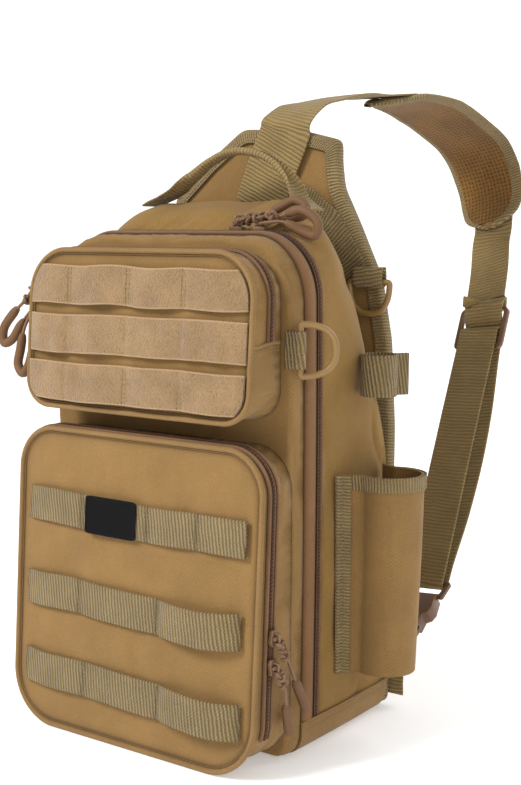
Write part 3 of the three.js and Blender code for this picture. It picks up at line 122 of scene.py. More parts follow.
UPPER = {
    "name": "upper_pocket", "width": 198.0, "low": 237.0, "height": 111.0, "deep": (38.0, 30.0),
    "top": 32.0, "bottom": 20.0, "crown": 3.0, "zip": (0.35, 0.56), "zip_low": 0.48,
}
LOWER = {
    "name": "lower_pocket", "width": 218.0, "low": 2.2, "height": 217.0, "deep": (46.0, 33.0),
    "top": 30.0, "bottom": 38.0, "crown": 4.0, "zip": (0.6, 0.86), "zip_low": 0.12,
}

# How much wider a pocket is at shares of the way from its rim to its face.
POCKET_SPREAD = ([0, 0.35, 0.75, 1], [-0.006, 0.008, 0.006, 0.0])

# Webbing rows on the lower pocket and pile strips on the upper one, as shares of their pocket.
WEB_ROWS = [
    {"low": 0.685, "bars": [-0.89, -0.4, 0.16, 0.55, 0.91], "bows": [0.5, 0.4, 0.6, 0.6]},
    {"low": 0.4, "bars": [-0.89, -0.4, 0.27, 0.89], "bows": [1.0, 0.7, 4.4]},
    {"low": 0.13, "bars": [-0.89, -0.34, 0.29, 0.91], "bows": [0.6, 0.7, 4.4]},
]
PILE_LOWS = [0.66, 0.352, 0.046]
PILE_BARS = [-0.975, -0.585, -0.03, 0.46, 0.985]


# Materials

def linear(code):
    """An sRGB hex colour as linear RGBA: a channel under 0.04045 is divided by 12.92, any other is
    (channel + 0.055) / 1.055 to the power 2.4."""
    channels = np.array([int(code[i:i + 2], 16) for i in (1, 3, 5)]) / 255
    curved = ((channels + 0.055) / 1.055) ** 2.4
    return (*np.where(channels <= 0.04045, channels / 12.92, curved).tolist(), 1.0)


def node(tree, kind, inputs, out=0, **settings):
    """Adds a node with its settings and links, and gives one of its outputs. inputs are its sockets' values, in
    order or by name or number, and a value that is another node's output is linked."""
    made = tree.nodes.new("ShaderNode" + kind)
    for key, value in settings.items():
        setattr(made, key, value)
    for key, value in inputs.items() if isinstance(inputs, dict) else enumerate(inputs):
        if isinstance(value, bpy.types.NodeSocket):
            tree.links.new(value, made.inputs[key])
        else:
            made.inputs[key].default_value = value
    return made.outputs[out]


def plain(name, roughness, specular=0.3, sheen=0.0, metallic=0.0, coat=0.0):
    """A material with the constants of its shader set, its tree, and the places that its pattern reads: on the
    object, and on the flat cloth across and along."""
    made = bpy.data.materials.new(name)
    made.use_nodes = True
    add = functools.partial(node, made.node_tree)
    shader = made.node_tree.nodes["Principled BSDF"]
    for socket, value in {"Roughness": roughness, "Specular IOR Level": specular, "Sheen Weight": sheen,
                          "Sheen Roughness": 0.5, "Metallic": metallic, "Coat Weight": coat}.items():
        shader.inputs[socket].default_value = value
    here = add("TexCoord", {}, "Object")
    flat = add("UVMap", {}, uv_map="flat")
    across = add("SeparateXYZ", [flat], "X")
    along = add("SeparateXYZ", [flat], "Y")
    return made, add, shader, here, across, along


def scaled(colour, factor, more=0.0):
    """A colour with its channels times a factor and a little more, 1 at most."""
    return (*[min(1.0, channel * factor + more) for channel in colour[:3]], 1.0)


def uneven(add, here, colour, spread, size, fine):
    """A colour that drifts up and down by a spread, in soft spots of a size in millimetres with a finer grain."""
    spots = add("TexNoise", {"Vector": here, "Scale": 1 / (size * MM), "Detail": 3.0})
    grain = add("TexNoise", {"Vector": here, "Scale": 1 / (fine * MM), "Detail": 2.0})
    both = add("Math", [grain, 0.7, spots], operation="MULTIPLY_ADD")
    share = add("MapRange", [both, 0.6, 1.1, 0.0, 1.0])
    low, high = scaled(colour, 1 - spread), scaled(colour, 1 + spread)
    return add("Mix", {0: share, 6: low, 7: high}, 2, data_type="RGBA")


def shaded(add, colour, amount, share):
    """A colour taken towards a share of itself, a little warmer, where amount is 1."""
    tint = (share, share * 0.93, share * 0.86, 1.0)
    return add("Mix", {0: amount, 6: colour, 7: tint}, 2, data_type="RGBA", blend_type="MULTIPLY")


def dress(add, shader, colour, height, depth):
    """Gives the shader its colour, and bumps it by a height that is depth millimetres at 1."""
    links = shader.id_data.links
    links.new(colour, shader.inputs["Base Color"])
    links.new(add("Bump", {"Height": height, "Distance": depth * MM}), shader.inputs["Normal"])


def woven_cloth(name, colour, pitch=1.3, depth=0.1):
    """Coated polyester cloth, plain woven: dull, with a faint even grain and soft uneven colour, and painted shade
    that darkens it near its seams. Its threads are 0.4 mm apart, too fine to show, so they are drawn coarser.
    The weave is the product of two sines across the view along each axis, weighted by how far the surface
    faces that axis."""
    made, add, shader, here, *_ = plain(name, 0.88, 0.2, sheen=0.08)
    wave = add("VectorMath", {0: here, "Scale": math.pi / (pitch * MM)}, operation="SCALE")
    wave = add("VectorMath", [wave], operation="SINE")
    x, y, z = (add("SeparateXYZ", [wave], axis) for axis in "XYZ")
    pairs = [add("Math", [one, other], operation="MULTIPLY") for one, other in ((y, z), (x, z), (x, y))]
    pairs = add("CombineXYZ", pairs)
    facing = add("VectorMath", [add("TexCoord", {}, "Normal")], operation="ABSOLUTE")
    weave = add("VectorMath", [pairs, facing], "Value", operation="DOT_PRODUCT")
    wrinkle = add("TexNoise", {"Vector": here, "Scale": 1 / (9 * MM), "Detail": 5.0})
    tone = uneven(add, here, colour, 0.1, 34, 1.5)
    grain = add("MapRange", [weave, -1.0, 0.2, 1.0, 0.0])
    tone = shaded(add, tone, grain, 0.86)
    # Painted shade: the seam attribute darkens the cloth where shade gathers at its seams, edges and piping.
    seam = add("Attribute", {}, "Fac", attribute_name="seam")
    tone = shaded(add, tone, seam, 0.3)
    dress(add, shader, tone, add("Math", [wrinkle, 5.0, weave], operation="MULTIPLY_ADD"), depth)
    return made


def ribbed_webbing(name, colour, ridge, pitch=2.7, depth=0.6, slant=0.16):
    """Polyester webbing, woven on narrow looms: ribs across its length, a little slanted and broken by the warp,
    with a dry sheen, and painted shade in the grooves between the ribs and where it is sewn down. Its picks
    are 1.3 mm apart, and are drawn at twice that to show."""
    made, add, shader, here, across, along = plain(name, 0.82, 0.2, sheen=0.12)
    warp = add("Math", [add("Math", [across, 2.9], operation="MULTIPLY")], operation="SINE")
    wobble = add("TexNoise", {"Vector": here, "Scale": 1 / (12 * MM), "Detail": 3.0})
    place = add("Math", [across, slant, along], operation="MULTIPLY_ADD")
    place = add("Math", [warp, 0.07 * pitch, place], operation="MULTIPLY_ADD")
    place = add("Math", [wobble, 0.8 * pitch, place], operation="MULTIPLY_ADD")
    rib = add("Math", [add("Math", [place, 2 * math.pi / pitch], operation="MULTIPLY")],
               operation="SINE")
    # Painted shade: the grooves between the ribs are darkened to the groove shade share.
    groove_shade_mask = add("MapRange", [rib, 0.35, -0.9, 0.0, 1.0])
    tone = shaded(add, uneven(add, here, colour, 0.13, 22, 1.2), groove_shade_mask, ridge)
    # Painted shade: the seam attribute darkens the webbing where it is sewn down.
    edge = add("Attribute", {}, "Fac", attribute_name="seam")
    tone = shaded(add, tone, edge, 0.4)
    dress(add, shader, tone, add("Math", [warp, 0.25, rib], operation="MULTIPLY_ADD"), depth)
    return made


def loop_pile(name, colour):
    """Hook-and-loop tape, its loop half: a dense mat of brushed nylon loops, dull and slightly furry, with a
    flat woven selvage down each edge, drawn paler than the mat as a painted highlight where it catches the
    light."""
    made, add, shader, here, across, _ = plain(name, 0.95, 0.1, sheen=0.3)
    loops = add("TexVoronoi", {"Vector": here, "Scale": 1 / (1.2 * MM)}, "Distance")
    tangle = add("TexNoise", {"Vector": here, "Scale": 1 / (1.7 * MM), "Detail": 5.0})
    fur = add("Math", [tangle, 1.6, loops], operation="MULTIPLY_ADD")
    tone = uneven(add, here, colour, 0.15, 17, 1.3)
    tone = shaded(add, tone, add("MapRange", [fur, 1.15, 0.75, 0.0, 1.0]), 0.72)
    # Painted highlight: the selvage at each edge is made paler, as where it catches the light.
    selvage = add("MapRange", [add("Math", [across], operation="ABSOLUTE"), 12.4, 12.9, 0.0, 1.0])
    tone = add("Mix", {0: selvage, 6: tone, 7: scaled(colour, 1.45)}, 2, data_type="RGBA")
    dress(add, shader, tone, fur, 0.6)
    return made


def coil_zip(name, coil, tape):
    """Nylon coil zip on a woven tape: two rows of slanted teeth meet in the middle, with painted shade between
    the teeth, down both sides of them and under the folded lips of the tape."""
    made, add, shader, here, across, along = plain(name, 0.7, 0.25)
    aside = add("Math", [across], operation="ABSOLUTE")
    on_coil = add("MapRange", [aside, 1.0, 1.3, 1.0, 0.0])
    slant = add("Math", [aside, 0.7, along], operation="MULTIPLY_ADD")
    teeth = add("Math", [add("Math", [slant, 2.4], operation="MULTIPLY")], operation="SINE")
    tooth_gap_shade = add("MapRange", [teeth, 0.4, -0.6, 0.0, 1.0])
    sides = uneven(add, here, tape, 0.14, 18, 1.4)
    # Painted shade between the teeth.
    middle = shaded(add, uneven(add, here, coil, 0.06, 18, 1.4), tooth_gap_shade, 0.6)
    tone = add("Mix", {0: on_coil, 6: sides, 7: middle}, 2, data_type="RGBA")
    # Painted shade: dark lines beside the coil and under the tape's folded lips.
    for place, wide in ((1.45, 0.5), (3.05, 0.3)):
        away = add("Math", [aside, place], operation="SUBTRACT")
        away = add("Math", [away], operation="ABSOLUTE")
        tone = shaded(add, tone, add("MapRange", [away, wide * 0.5, wide, 1.0, 0.0]), 0.22)
    dress(add, shader, tone, add("Math", [teeth, on_coil], operation="MULTIPLY"), 0.4)
    return made


def spacer_mesh(name, colour):
    """Spacer mesh, knitted polyester: rows of small round holes, 3.6 mm apart, over dark foam."""
    made, add, shader, here, *_ = plain(name, 0.9, 0.15, sheen=0.15)
    flat = add("UVMap", {}, uv_map="flat")
    cells = add("TexVoronoi", {"Vector": flat, "Scale": 1 / 3.6, "Randomness": 0.12}, "Distance")
    hole = add("MapRange", [cells, 0.22, 0.38, 1.0, 0.0])
    tone = shaded(add, uneven(add, here, colour, 0.22, 30, 1.5), hole, 0.5)
    dress(add, shader, tone, hole, -0.7)
    return made


def moulded_plastic(name, colour, roughness, coat=0.0, peel=0.05, specular=0.45):
    """Injection-moulded plastic: smooth, with a soft gloss, the faintest orange-peel texture and a paler rub
    along its edges."""
    made, add, shader, here, *_ = plain(name, roughness, specular, coat=coat)
    skin = add("TexNoise", {"Vector": here, "Scale": 1 / (0.9 * MM), "Detail": 2.0})
    edge = add("MapRange", [add("NewGeometry", {}, "Pointiness"), 0.52, 0.6, 0.0, 0.5])
    skin_tone = uneven(add, here, colour, 0.07, 16, 1.2)
    tone = add("Mix", {0: edge, 6: skin_tone, 7: scaled(colour, 1.3, 0.02)}, 2, data_type="RGBA")
    dress(add, shader, tone, skin, peel)
    return made


def enamelled_zinc(name, colour):
    """Zinc die casting under baked enamel: satin, and worn to a paler tone along its edges."""
    made, add, shader, here, *_ = plain(name, 0.45, 0.5, metallic=0.2)
    cast = add("TexNoise", {"Vector": here, "Scale": 1 / (1.1 * MM), "Detail": 3.0})
    edge = add("MapRange", [add("NewGeometry", {}, "Pointiness"), 0.5, 0.6, 0.0, 0.8])
    enamel = uneven(add, here, colour, 0.1, 5, 0.8)
    tone = add("Mix", {0: edge, 6: enamel, 7: scaled(colour, 1.6)}, 2, data_type="RGBA")
    dress(add, shader, tone, cast, 0.06)
    return made


def braided_cord(name, colour):
    """Braided polyester cord: a fine diamond braid, the product of two sines along its two slants."""
    made, add, shader, here, across, along = plain(name, 0.75, 0.25, sheen=0.1)
    slants = [add("Math", [along, 2.6, add("Math", [across, hand], operation="MULTIPLY")],
                   operation="MULTIPLY_ADD") for hand in (2.6, -2.6)]
    waves = [add("Math", [slant], operation="SINE") for slant in slants]
    braid = add("Math", waves, operation="MULTIPLY")
    tone = shaded(add, uneven(add, here, colour, 0.12, 8, 1.0), add("MapRange", [braid, 0.2, -0.8, 0, 1]), 0.6)
    dress(add, shader, tone, braid, 0.25)
    return made


# Each finish: what makes it, its name, the pack's colours that it takes, and its settings.
FINISHES = {
    "cloth": (woven_cloth, "coated polyester cloth", ["cloth"], {}),
    "gusset": (woven_cloth, "coated polyester gusset", ["gusset"], {}),
    "welt": (woven_cloth, "brushed polyester welt", ["welt"], {"pitch": 1.0}),
    "piping": (woven_cloth, "bias-cut polyester piping", ["piping"], {"pitch": 1.0}),
    "webbing": (ribbed_webbing, "ribbed polyester webbing", ["webbing"], {"ridge": 0.52}),
    "strap": (ribbed_webbing, "ribbed polyester strap", ["strap"],
              {"ridge": 0.72, "pitch": 2.9, "depth": 0.35, "slant": 0.05}),
    "binding": (ribbed_webbing, "grosgrain binding tape", ["binding"],
                {"ridge": 0.6, "pitch": 2.3, "depth": 0.5, "slant": 0.08}),
    "pile": (loop_pile, "brushed nylon loop pile", ["pile"], {}),
    "zip": (coil_zip, "nylon coil zip", ["coil", "tape"], {}),
    "mesh": (spacer_mesh, "knitted spacer mesh", ["mesh"], {}),
    "label": (moulded_plastic, "moulded rubber patch", ["label"], {"roughness": 0.75, "peel": 0.12, "specular": 0.12}),
    "tan_plastic": (moulded_plastic, "moulded nylon", ["ring"], {"roughness": 0.4}),
    "brown_plastic": (moulded_plastic, "moulded acetal", ["buckle"], {"roughness": 0.32, "coat": 0.1}),
    "pull": (moulded_plastic, "moulded soft rubber", ["pull"], {"roughness": 0.6, "specular": 0.2}),
    "cord": (braided_cord, "braided polyester cord", ["cord"], {}),
    "slider": (enamelled_zinc, "enamelled zinc", ["slider"], {}),
    "thread": (braided_cord, "twisted polyester thread", ["thread"], {}),
}
MATERIALS = {}


def material(kind):
    """The finish of that kind, made once, in the colours of the pack's settings."""
    if kind not in MATERIALS:
        make, name, colours, settings = FINISHES[kind]
        tones = [getattr(bpy.context.scene.pack_colours, colour) for colour in colours]
        MATERIALS[kind] = make(name, *tones, **settings)
    return MATERIALS[kind]


# Shapes

def unit(vectors):
    """Vectors divided by their lengths."""
    return vectors / np.maximum(np.linalg.norm(vectors, axis=-1, keepdims=True), 1e-9)


def places(*parts):
    """Places from their coordinates, each an array or one number for all."""
    return np.stack(np.broadcast_arrays(*parts), -1)


def bent(n, power):
    """A number's size to a power, with its sign kept: it turns a circle's sine and cosine to a superellipse's."""
    return np.sign(n) * np.abs(n) ** power


def evenly(points, count):
    """Points at equal distances along a line, by straight interpolation over its length so far."""
    points = np.asarray(points, float)
    run = run_along(points)
    at = np.linspace(0, run[-1], count)
    return np.stack([np.interp(at, run, column) for column in points.T], -1)


def smooth_path(points, count, closed=False):
    """A curve through points: a cubic between each two, whose slopes are those of the chord between their
    neighbours, with knots spaced by the root of the distance; then spaced evenly."""
    p = np.asarray(points, float)
    if closed:
        p = np.concatenate([p[-2:], p, p[:3]])
    else:
        p = np.concatenate([[2 * p[0] - p[1]], p, [2 * p[-1] - p[-2]]])
    knot = np.concatenate([[0], np.cumsum(np.linalg.norm(np.diff(p, axis=0), axis=1) ** 0.5)])
    first, last = (2, len(p) - 3) if closed else (1, len(p) - 2)
    at = np.linspace(knot[first], knot[last], 24 * (last - first) + 1)
    i = np.clip(np.searchsorted(knot, at, side="right") - 1, first, last - 1)
    t0, t1, t2, t3 = (knot[i + k][:, None] for k in (-1, 0, 1, 2))
    p0, p1, p2, p3 = (p[i + k] for k in (-1, 0, 1, 2))
    at = at[:, None]
    a1 = p0 * (t1 - at) / (t1 - t0) + p1 * (at - t0) / (t1 - t0)
    a2 = p1 * (t2 - at) / (t2 - t1) + p2 * (at - t1) / (t2 - t1)
    a3 = p2 * (t3 - at) / (t3 - t2) + p3 * (at - t2) / (t3 - t2)
    b1 = a1 * (t2 - at) / (t2 - t0) + a2 * (at - t0) / (t2 - t0)
    b2 = a2 * (t3 - at) / (t3 - t1) + a3 * (at - t1) / (t3 - t1)
    return evenly(b1 * (t2 - at) / (t2 - t1) + b2 * (at - t1) / (t2 - t1), count)


def softened(points, window):
    """A closed line with its corners rounded: each point is the mean of those within a window of points."""
    kernel = np.hanning(window + 2)[1:-1]
    kernel /= kernel.sum()
    half = window // 2
    padded = np.concatenate([points[-half:], points, points[:half]])
    return np.stack([np.convolve(column, kernel, "valid")[:len(points)] for column in padded.T], -1)


def softened_line(points):
    """An open line with its corners eased: each inner point takes half its place from its neighbours."""
    eased = points.copy()
    eased[1:-1] = points[1:-1] / 2 + (points[:-2] + points[2:]) / 4
    return eased


def folds(a, b, size, depth, seed):
    """Soft uneven folds: the mean of eight sine waves over two coordinates, each in a random direction, of
    about one fold size."""
    rng = np.random.default_rng(seed)
    total = 0.0
    for angle, share, phase in zip(rng.uniform(0, np.pi, 8), rng.uniform(0.6, 1.9, 8), rng.uniform(0, 6.28, 8)):
        wave = 2 * np.pi / (size * share)
        total = total + np.sin(wave * (a * np.cos(angle) + b * np.sin(angle)) + phase)
    return depth * total / 3.2


def creased(a, b, size, depth, seed):
    """Sharp creases between soft bulges: minus the depth where soft folds cross nothing, and none between."""
    height = np.abs(folds(a, b, size, 1.0, seed))
    return -depth * np.exp(-height / 0.3)


def held(push, cap=0.35):
    """A push whose outward part stays under a cap, in millimetres, by a smooth bend, so that the cloth creases
    inwards and keeps clear of what is sewn to it."""
    return cap - np.log1p(np.exp(2.5 * (cap - push))) / 2.5 + 0.12


def pucker(away, along, share, seed, pitch=11.0, fade=9.0):
    """Puckers beside a seam: waves along it, uneven in length, that fade with distance from it."""
    wobble = folds(along, away * 0.3, 46, 2.4, seed)
    depth = share * bpy.context.scene.pack_sizes.pucker_depth / MM
    return depth * np.exp(-np.abs(away) / fade) * np.sin(2 * np.pi * along / pitch + wobble)


def run_along(points):
    """Distance so far along each row's points."""
    step = np.linalg.norm(np.diff(points, axis=0), axis=1)
    return np.concatenate([[0], np.cumsum(step)])


def grid_mesh(name, points, u=0.0, v=0.0, around=True, along=False, ends=True, seam=None, slots=None):
    """A mesh of quads over a grid of points, rows by columns. u and v are the points' places on the flat cloth,
    across and along it, with one more column and row for where the grid closes on itself. seam is painted
    shade that darkens the cloth near a seam."""
    rows, columns = points.shape[:2]
    flat = places(*np.broadcast_arrays(u, v, np.zeros((rows + 1, columns + 1)))[:2])
    i = np.arange(rows if along else rows - 1)[:, None]
    j = np.arange(columns if around else columns - 1)[None, :]
    i2, j2 = (i + 1) % rows, (j + 1) % columns
    quads = np.stack(np.broadcast_arrays(
        i * columns + j, i * columns + j2, i2 * columns + j2, i2 * columns + j), -1).reshape(-1, 4)
    corners = np.stack([flat[i, j], flat[i, j + 1], flat[i + 1, j + 1], flat[i + 1, j]], 2).reshape(-1, 4, 2)
    place = points.reshape(-1, 3)
    a, b, c, d = (place[quads[:, k]] for k in range(4))
    middle = place.mean(0)
    volume = np.einsum("ij,ij->", np.cross(b - a, c - a), a - middle)
    volume += np.einsum("ij,ij->", np.cross(c - a, d - a), a - middle)
    caps = [np.arange(columns)[::-1], (rows - 1) * columns + np.arange(columns)] if ends else []
    if volume < 0:
        quads, corners = quads[:, ::-1], corners[:, ::-1]
        caps = [cap[::-1] for cap in caps]
    mesh = bpy.data.meshes.new(name)
    mesh.from_pydata((place * MM).tolist(), [], quads.tolist() + [cap.tolist() for cap in caps])
    loops = corners.reshape(-1, 2)
    if caps:
        whole = flat[:rows, :columns].reshape(-1, 2)
        loops = np.concatenate([loops] + [whole[cap] for cap in caps])
    mesh.uv_layers.new(name="flat").data.foreach_set("uv", loops.astype(np.float32).ravel())
    # The seam attribute carries painted shade, which the materials darken by.
    if seam is not None:
        mesh.attributes.new("seam", "FLOAT", "POINT").data.foreach_set("value", seam.astype(np.float32).ravel())
    if slots is not None:
        marks = np.repeat(slots[:rows if along else rows - 1], columns if around else columns - 1)
        marks = np.concatenate([marks, [slots[0], slots[-1]] if ends else []]).astype(np.int32)
        mesh.polygons.foreach_set("material_index", marks)
    mesh.shade_smooth()
    mesh.set_sharp_from_angle(angle=math.radians(55))
    mesh.update()
    return mesh


def piece(name, mesh, kinds, slot, *stands_for, body="pack"):
    """An object for a mesh, with its finish, that rides on a body and stands for the solids it is named for."""
    made = bpy.data.objects.new(name, mesh)
    bpy.context.scene.collection.objects.link(made)
    for kind in [kinds] if isinstance(kinds, str) else kinds:
        mesh.materials.append(material(kind))
    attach(made, body)
    if stands_for:
        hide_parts(*stands_for)
    return made


def modifier(made, kind, **settings):
    """Adds a modifier with its settings."""
    added = made.modifiers.new(kind.lower(), kind)
    for key, value in settings.items():
        setattr(added, key, value)
    return added


def corners_of(mesh):
    """A mesh's points as one array, in metres."""
    place = np.empty(len(mesh.vertices) * 3, np.float32)
    mesh.vertices.foreach_get("co", place)
    return place.reshape(-1, 3)


def filled(made, voxel, cap):
    """A padded piece: its mesh is remade in even small faces, blown up by a cloth simulation without gravity,
    and smoothed. No point moves further than the cap, in millimetres."""
    scene = bpy.context.scene
    modifier(made, "REMESH", mode="VOXEL", voxel_size=voxel * MM)
    mesh = bpy.data.meshes.new_from_object(made.evaluated_get(bpy.context.evaluated_depsgraph_get()))
    made.modifiers.clear()
    mesh.name = made.data.name + "_filled"
    made.data = mesh
    start = corners_of(mesh)
    cloth = modifier(made, "CLOTH")
    cloth.settings.use_pressure = True
    cloth.settings.uniform_pressure_force = 4.0
    cloth.settings.effector_weights.gravity = 0.0
    cloth.point_cache.frame_start = 1
    cloth.point_cache.frame_end = 20
    for frame_number in range(1, 21):
        scene.frame_set(frame_number)
    move = corners_of(made.evaluated_get(bpy.context.evaluated_depsgraph_get()).data) - start
    made.modifiers.clear()
    scene.frame_set(1)
    length = np.linalg.norm(move, axis=1, keepdims=True)
    move *= np.minimum(1, cap * MM / np.maximum(length, 1e-9))
    mesh.vertices.foreach_set("co", (start + move).ravel())
    mesh.shade_smooth()
    mesh.update()
    modifier(made, "SUBSURF", levels=1, render_levels=1)


def join(name, meshes):
    """Several meshes as one."""
    made = bpy.data.meshes.new(name)
    start = 0
    points, faces, flats, smooth = [], [], [], []
    for mesh in meshes:
        points.append(corners_of(mesh))
        faces += [[start + v for v in face.vertices] for face in mesh.polygons]
        flat = np.empty(len(mesh.loops) * 2, np.float32)
        mesh.uv_layers["flat"].data.foreach_get("uv", flat)
        flats.append(flat)
        start += len(mesh.vertices)
        bpy.data.meshes.remove(mesh)
    made.from_pydata(np.concatenate(points).tolist(), [], faces)
    made.uv_layers.new(name="flat").data.foreach_set("uv", np.concatenate(flats))
    made.shade_smooth()
    made.set_sharp_from_angle(angle=math.radians(55))
    made.update()
    return made


def sweep(name, path, across, profile, closed=False, seam=None, slots=None, reshape=None):
    """A profile carried along a path: each point stands off the path by its first number along the way across
    and by its second along the way out, which is across times the tangent. profile is (columns, 2), or
    (rows, columns, 2) where it changes along the path. reshape moves the finished points."""
    path = np.asarray(path, float)
    rows = len(path)
    if closed:
        tangent = unit(np.roll(path, -1, 0) - np.roll(path, 1, 0))
    else:
        tangent = unit(np.gradient(path, axis=0))
    across = np.broadcast_to(np.asarray(across, float), path.shape)
    side = unit(across - np.sum(across * tangent, 1, keepdims=True) * tangent)
    out = np.cross(side, tangent)
    profile = np.broadcast_to(profile, (rows, *np.shape(profile)[-2:]))
    points = path[:, None] + side[:, None] * profile[..., :1] + out[:, None] * profile[..., 1:]
    if reshape:
        points = reshape(points)
    run = run_along(np.concatenate([path, path[:1] if closed else path[-1:]]))
    u = np.concatenate([profile[..., 0], profile[:1, :, 0]])
    u = np.concatenate([u, u[:, :1]], 1)
    return grid_mesh(name, points, u, run[:, None], along=closed, ends=not closed, seam=seam, slots=slots)


def web(name, path, across, width, wall, kind="webbing", columns=11, cup=0.0, **more):
    """A piece of webbing: a flat band carried along a path."""
    mesh = sweep(name, path, across, band_profile(width, wall, columns, cup), **more)
    return piece(name + "_web", mesh, kind, "webbing", name)


def sewn(name, rows):
    """Rows of stitches as one piece of thread."""
    return piece(name, join(name, rows), "thread", "webbing")


def band_profile(width, wall, columns=11, cup=0.0):
    """A flat band's section: rounded edges of half its wall, and a shallow cup across its width."""
    half = width / 2 - wall / 2
    u = np.linspace(-half, half, columns)
    turn = np.linspace(-np.pi / 2, np.pi / 2, 5)[1:-1]
    edge = places(half + wall / 2 * np.cos(turn), wall / 2 * np.sin(turn))
    section = np.concatenate([places(u, -wall / 2), edge, places(u[::-1], wall / 2), edge[::-1] * [-1, 1]])
    section[:, 1] += cup * (1 - (section[:, 0] / (width / 2)) ** 2)
    return section


def round_profile(radius, sides=14):
    """A circle."""
    angle = np.linspace(0, 2 * np.pi, sides, endpoint=False)
    return radius * places(np.cos(angle), np.sin(angle))


def stitches(name, path, out, length=3.2, gap=1.3, thick=0.55, lift=0.25):
    """A row of stitches: along a line, short spindles whose width is the sine of the way along each, half sunk
    in the cloth."""
    path = np.asarray(path, float)
    total = run_along(path)[-1]
    count = max(2, int(total / (length + gap)))
    starts = (np.arange(count) + 0.5) / count
    run = run_along(path) / total
    normal = unit(np.broadcast_to(np.asarray(out, float), path.shape))
    sample = lambda values, at: np.stack([np.interp(at, run, column) for column in values.T], -1)
    t = np.array([-1, -0.6, 0.0, 0.6, 1])
    at = np.clip(starts[:, None] + t[None] * length / 2 / total, 0, 1)
    middle, ways = sample(path, at.ravel()).reshape(count, 5, 3), sample(normal, at.ravel()).reshape(count, 5, 3)
    tangent = unit(middle[:, -1:] - middle[:, :1])
    side = unit(np.cross(tangent, ways))
    angle = np.linspace(0, 2 * np.pi, 6, endpoint=False)
    radius = (thick / 2 * np.array([0.25, 0.85, 1.0, 0.85, 0.25]))[None, :, None, None]
    ring = side[:, :, None] * np.cos(angle)[:, None] + unit(ways)[:, :, None] * np.sin(angle)[:, None]
    points = middle[:, :, None] + ways[:, :, None] * lift + radius * ring
    cell = np.arange(count)[:, None, None] * 30
    i, j = np.arange(4)[None, :, None], np.arange(6)[None, None, :]
    quads = np.stack(np.broadcast_arrays(
        cell + i * 6 + j, cell + i * 6 + (j + 1) % 6, cell + (i + 1) * 6 + (j + 1) % 6, cell + (i + 1) * 6 + j), -1)
    caps = np.concatenate([cell[:, 0] + np.arange(6)[::-1], cell[:, 0] + 24 + np.arange(6)])
    mesh = bpy.data.meshes.new(name)
    mesh.from_pydata((points.reshape(-1, 3) * MM).tolist(), [], quads.reshape(-1, 4).tolist() + caps.tolist())
    mesh.uv_layers.new(name="flat").data.foreach_set("uv", np.zeros(len(mesh.loops) * 2, np.float32))
    mesh.shade_smooth()
    mesh.update()
    return mesh


# The bag's outline

CORNER = 26
SIDE = 56


def outline(left, right, low, high, corners, belly=0.0):
    """A rounded outline in X and Z, anticlockwise from the lower right: four corners, each a quarter of a
    superellipse with its own reaches and power, joined by sides that swell by a parabola."""
    angle = np.linspace(0, np.pi / 2, CORNER + 1)

    def corner(x, z, reach_x, reach_z, power, quarter):
        turned = angle + quarter * np.pi / 2
        return places(x + reach_x * bent(np.cos(turned), 2 / power), z + reach_z * bent(np.sin(turned), 2 / power))

    def side(start, end, swell):
        t = np.linspace(0, 1, SIDE + 1)[1:-1, None]
        return start + (end - start) * t + np.array([1.0, 0.0]) * swell * belly * 4 * t * (1 - t)

    top_right, top_left, low_left, low_right = corners
    quarters = [
        corner(right - top_right[0], high - top_right[1], *top_right, 0),
        corner(left + top_left[0], high - top_left[1], *top_left, 1),
        corner(left + low_left[0], low + low_left[1], *low_left, 2),
        corner(right - low_right[0], low + low_right[1], *low_right, 3),
    ]
    last = np.array([[right, low + low_right[1]]])
    parts = [last]
    for swell, quarter in zip((1.0, 0.0, -1.0, 0.0), quarters):
        parts += [side(parts[-1][-1], quarter[0], swell), quarter]
    return np.concatenate(parts)[:-1]


def grown(points, distance):
    """A closed outline moved outwards by a distance at each point, along the mean of its two sides' normals
    divided by the cosine of half the angle between them."""
    step = np.roll(points, -1, 0) - points
    after = unit(np.stack([step[:, 1], -step[:, 0]], -1))
    before = np.roll(after, 1, 0)
    bisector = (before + after) / (1 + np.sum(before * after, 1, keepdims=True))
    return points + bisector * np.reshape(distance, (-1, 1))


def body_outline(y):
    """The bag's outline at a place down its depth: each size is the mean of the section table's values at five
    places close to it, so that the form has no ridge at a row."""
    along = (y - SHELL_FACE) / (REAR_BACK - SHELL_FACE) + np.linspace(-0.05, 0.05, 5)
    row = {key: np.interp(along, BODY_SECTIONS["along"], values).mean() for key, values in BODY_SECTIONS.items()}
    half = BODY_WIDTH / 2 * (1 + row["spread"])
    low_corner = (0.065 * BODY_WIDTH, 0.04 * BODY_HEIGHT, 2.0)
    corners = [
        (row["right_x"] * BODY_WIDTH, row["right_z"] * BODY_HEIGHT, row["power"]),
        (row["left_x"] * BODY_WIDTH, row["left_z"] * BODY_HEIGHT, 2.0), low_corner, low_corner,
    ]
    high = BODY_HEIGHT + CROWN_RISE * row["rise"]
    return outline(-half, half, BODY_LOW, high, corners, 0.005 * BODY_WIDTH)


def at_depth(points, y):
    """An outline in X and Z, set at a depth."""
    return places(points[:, 0], y, points[:, 1])


def side_at(y, z):
    """How far the bag's right side stands from its middle."""
    points = body_outline(y)
    right = points[:CORNER + SIDE + 20]
    order = np.argsort(right[:, 1])
    return np.interp(z, right[order, 1], right[order, 0])


def top_at(y, x):
    """How high the bag's top stands."""
    points = body_outline(y)
    top = points[points[:, 1] > BODY_HEIGHT * 0.6]
    order = np.argsort(top[:, 0])
    return np.interp(x, top[order, 0], top[order, 1])


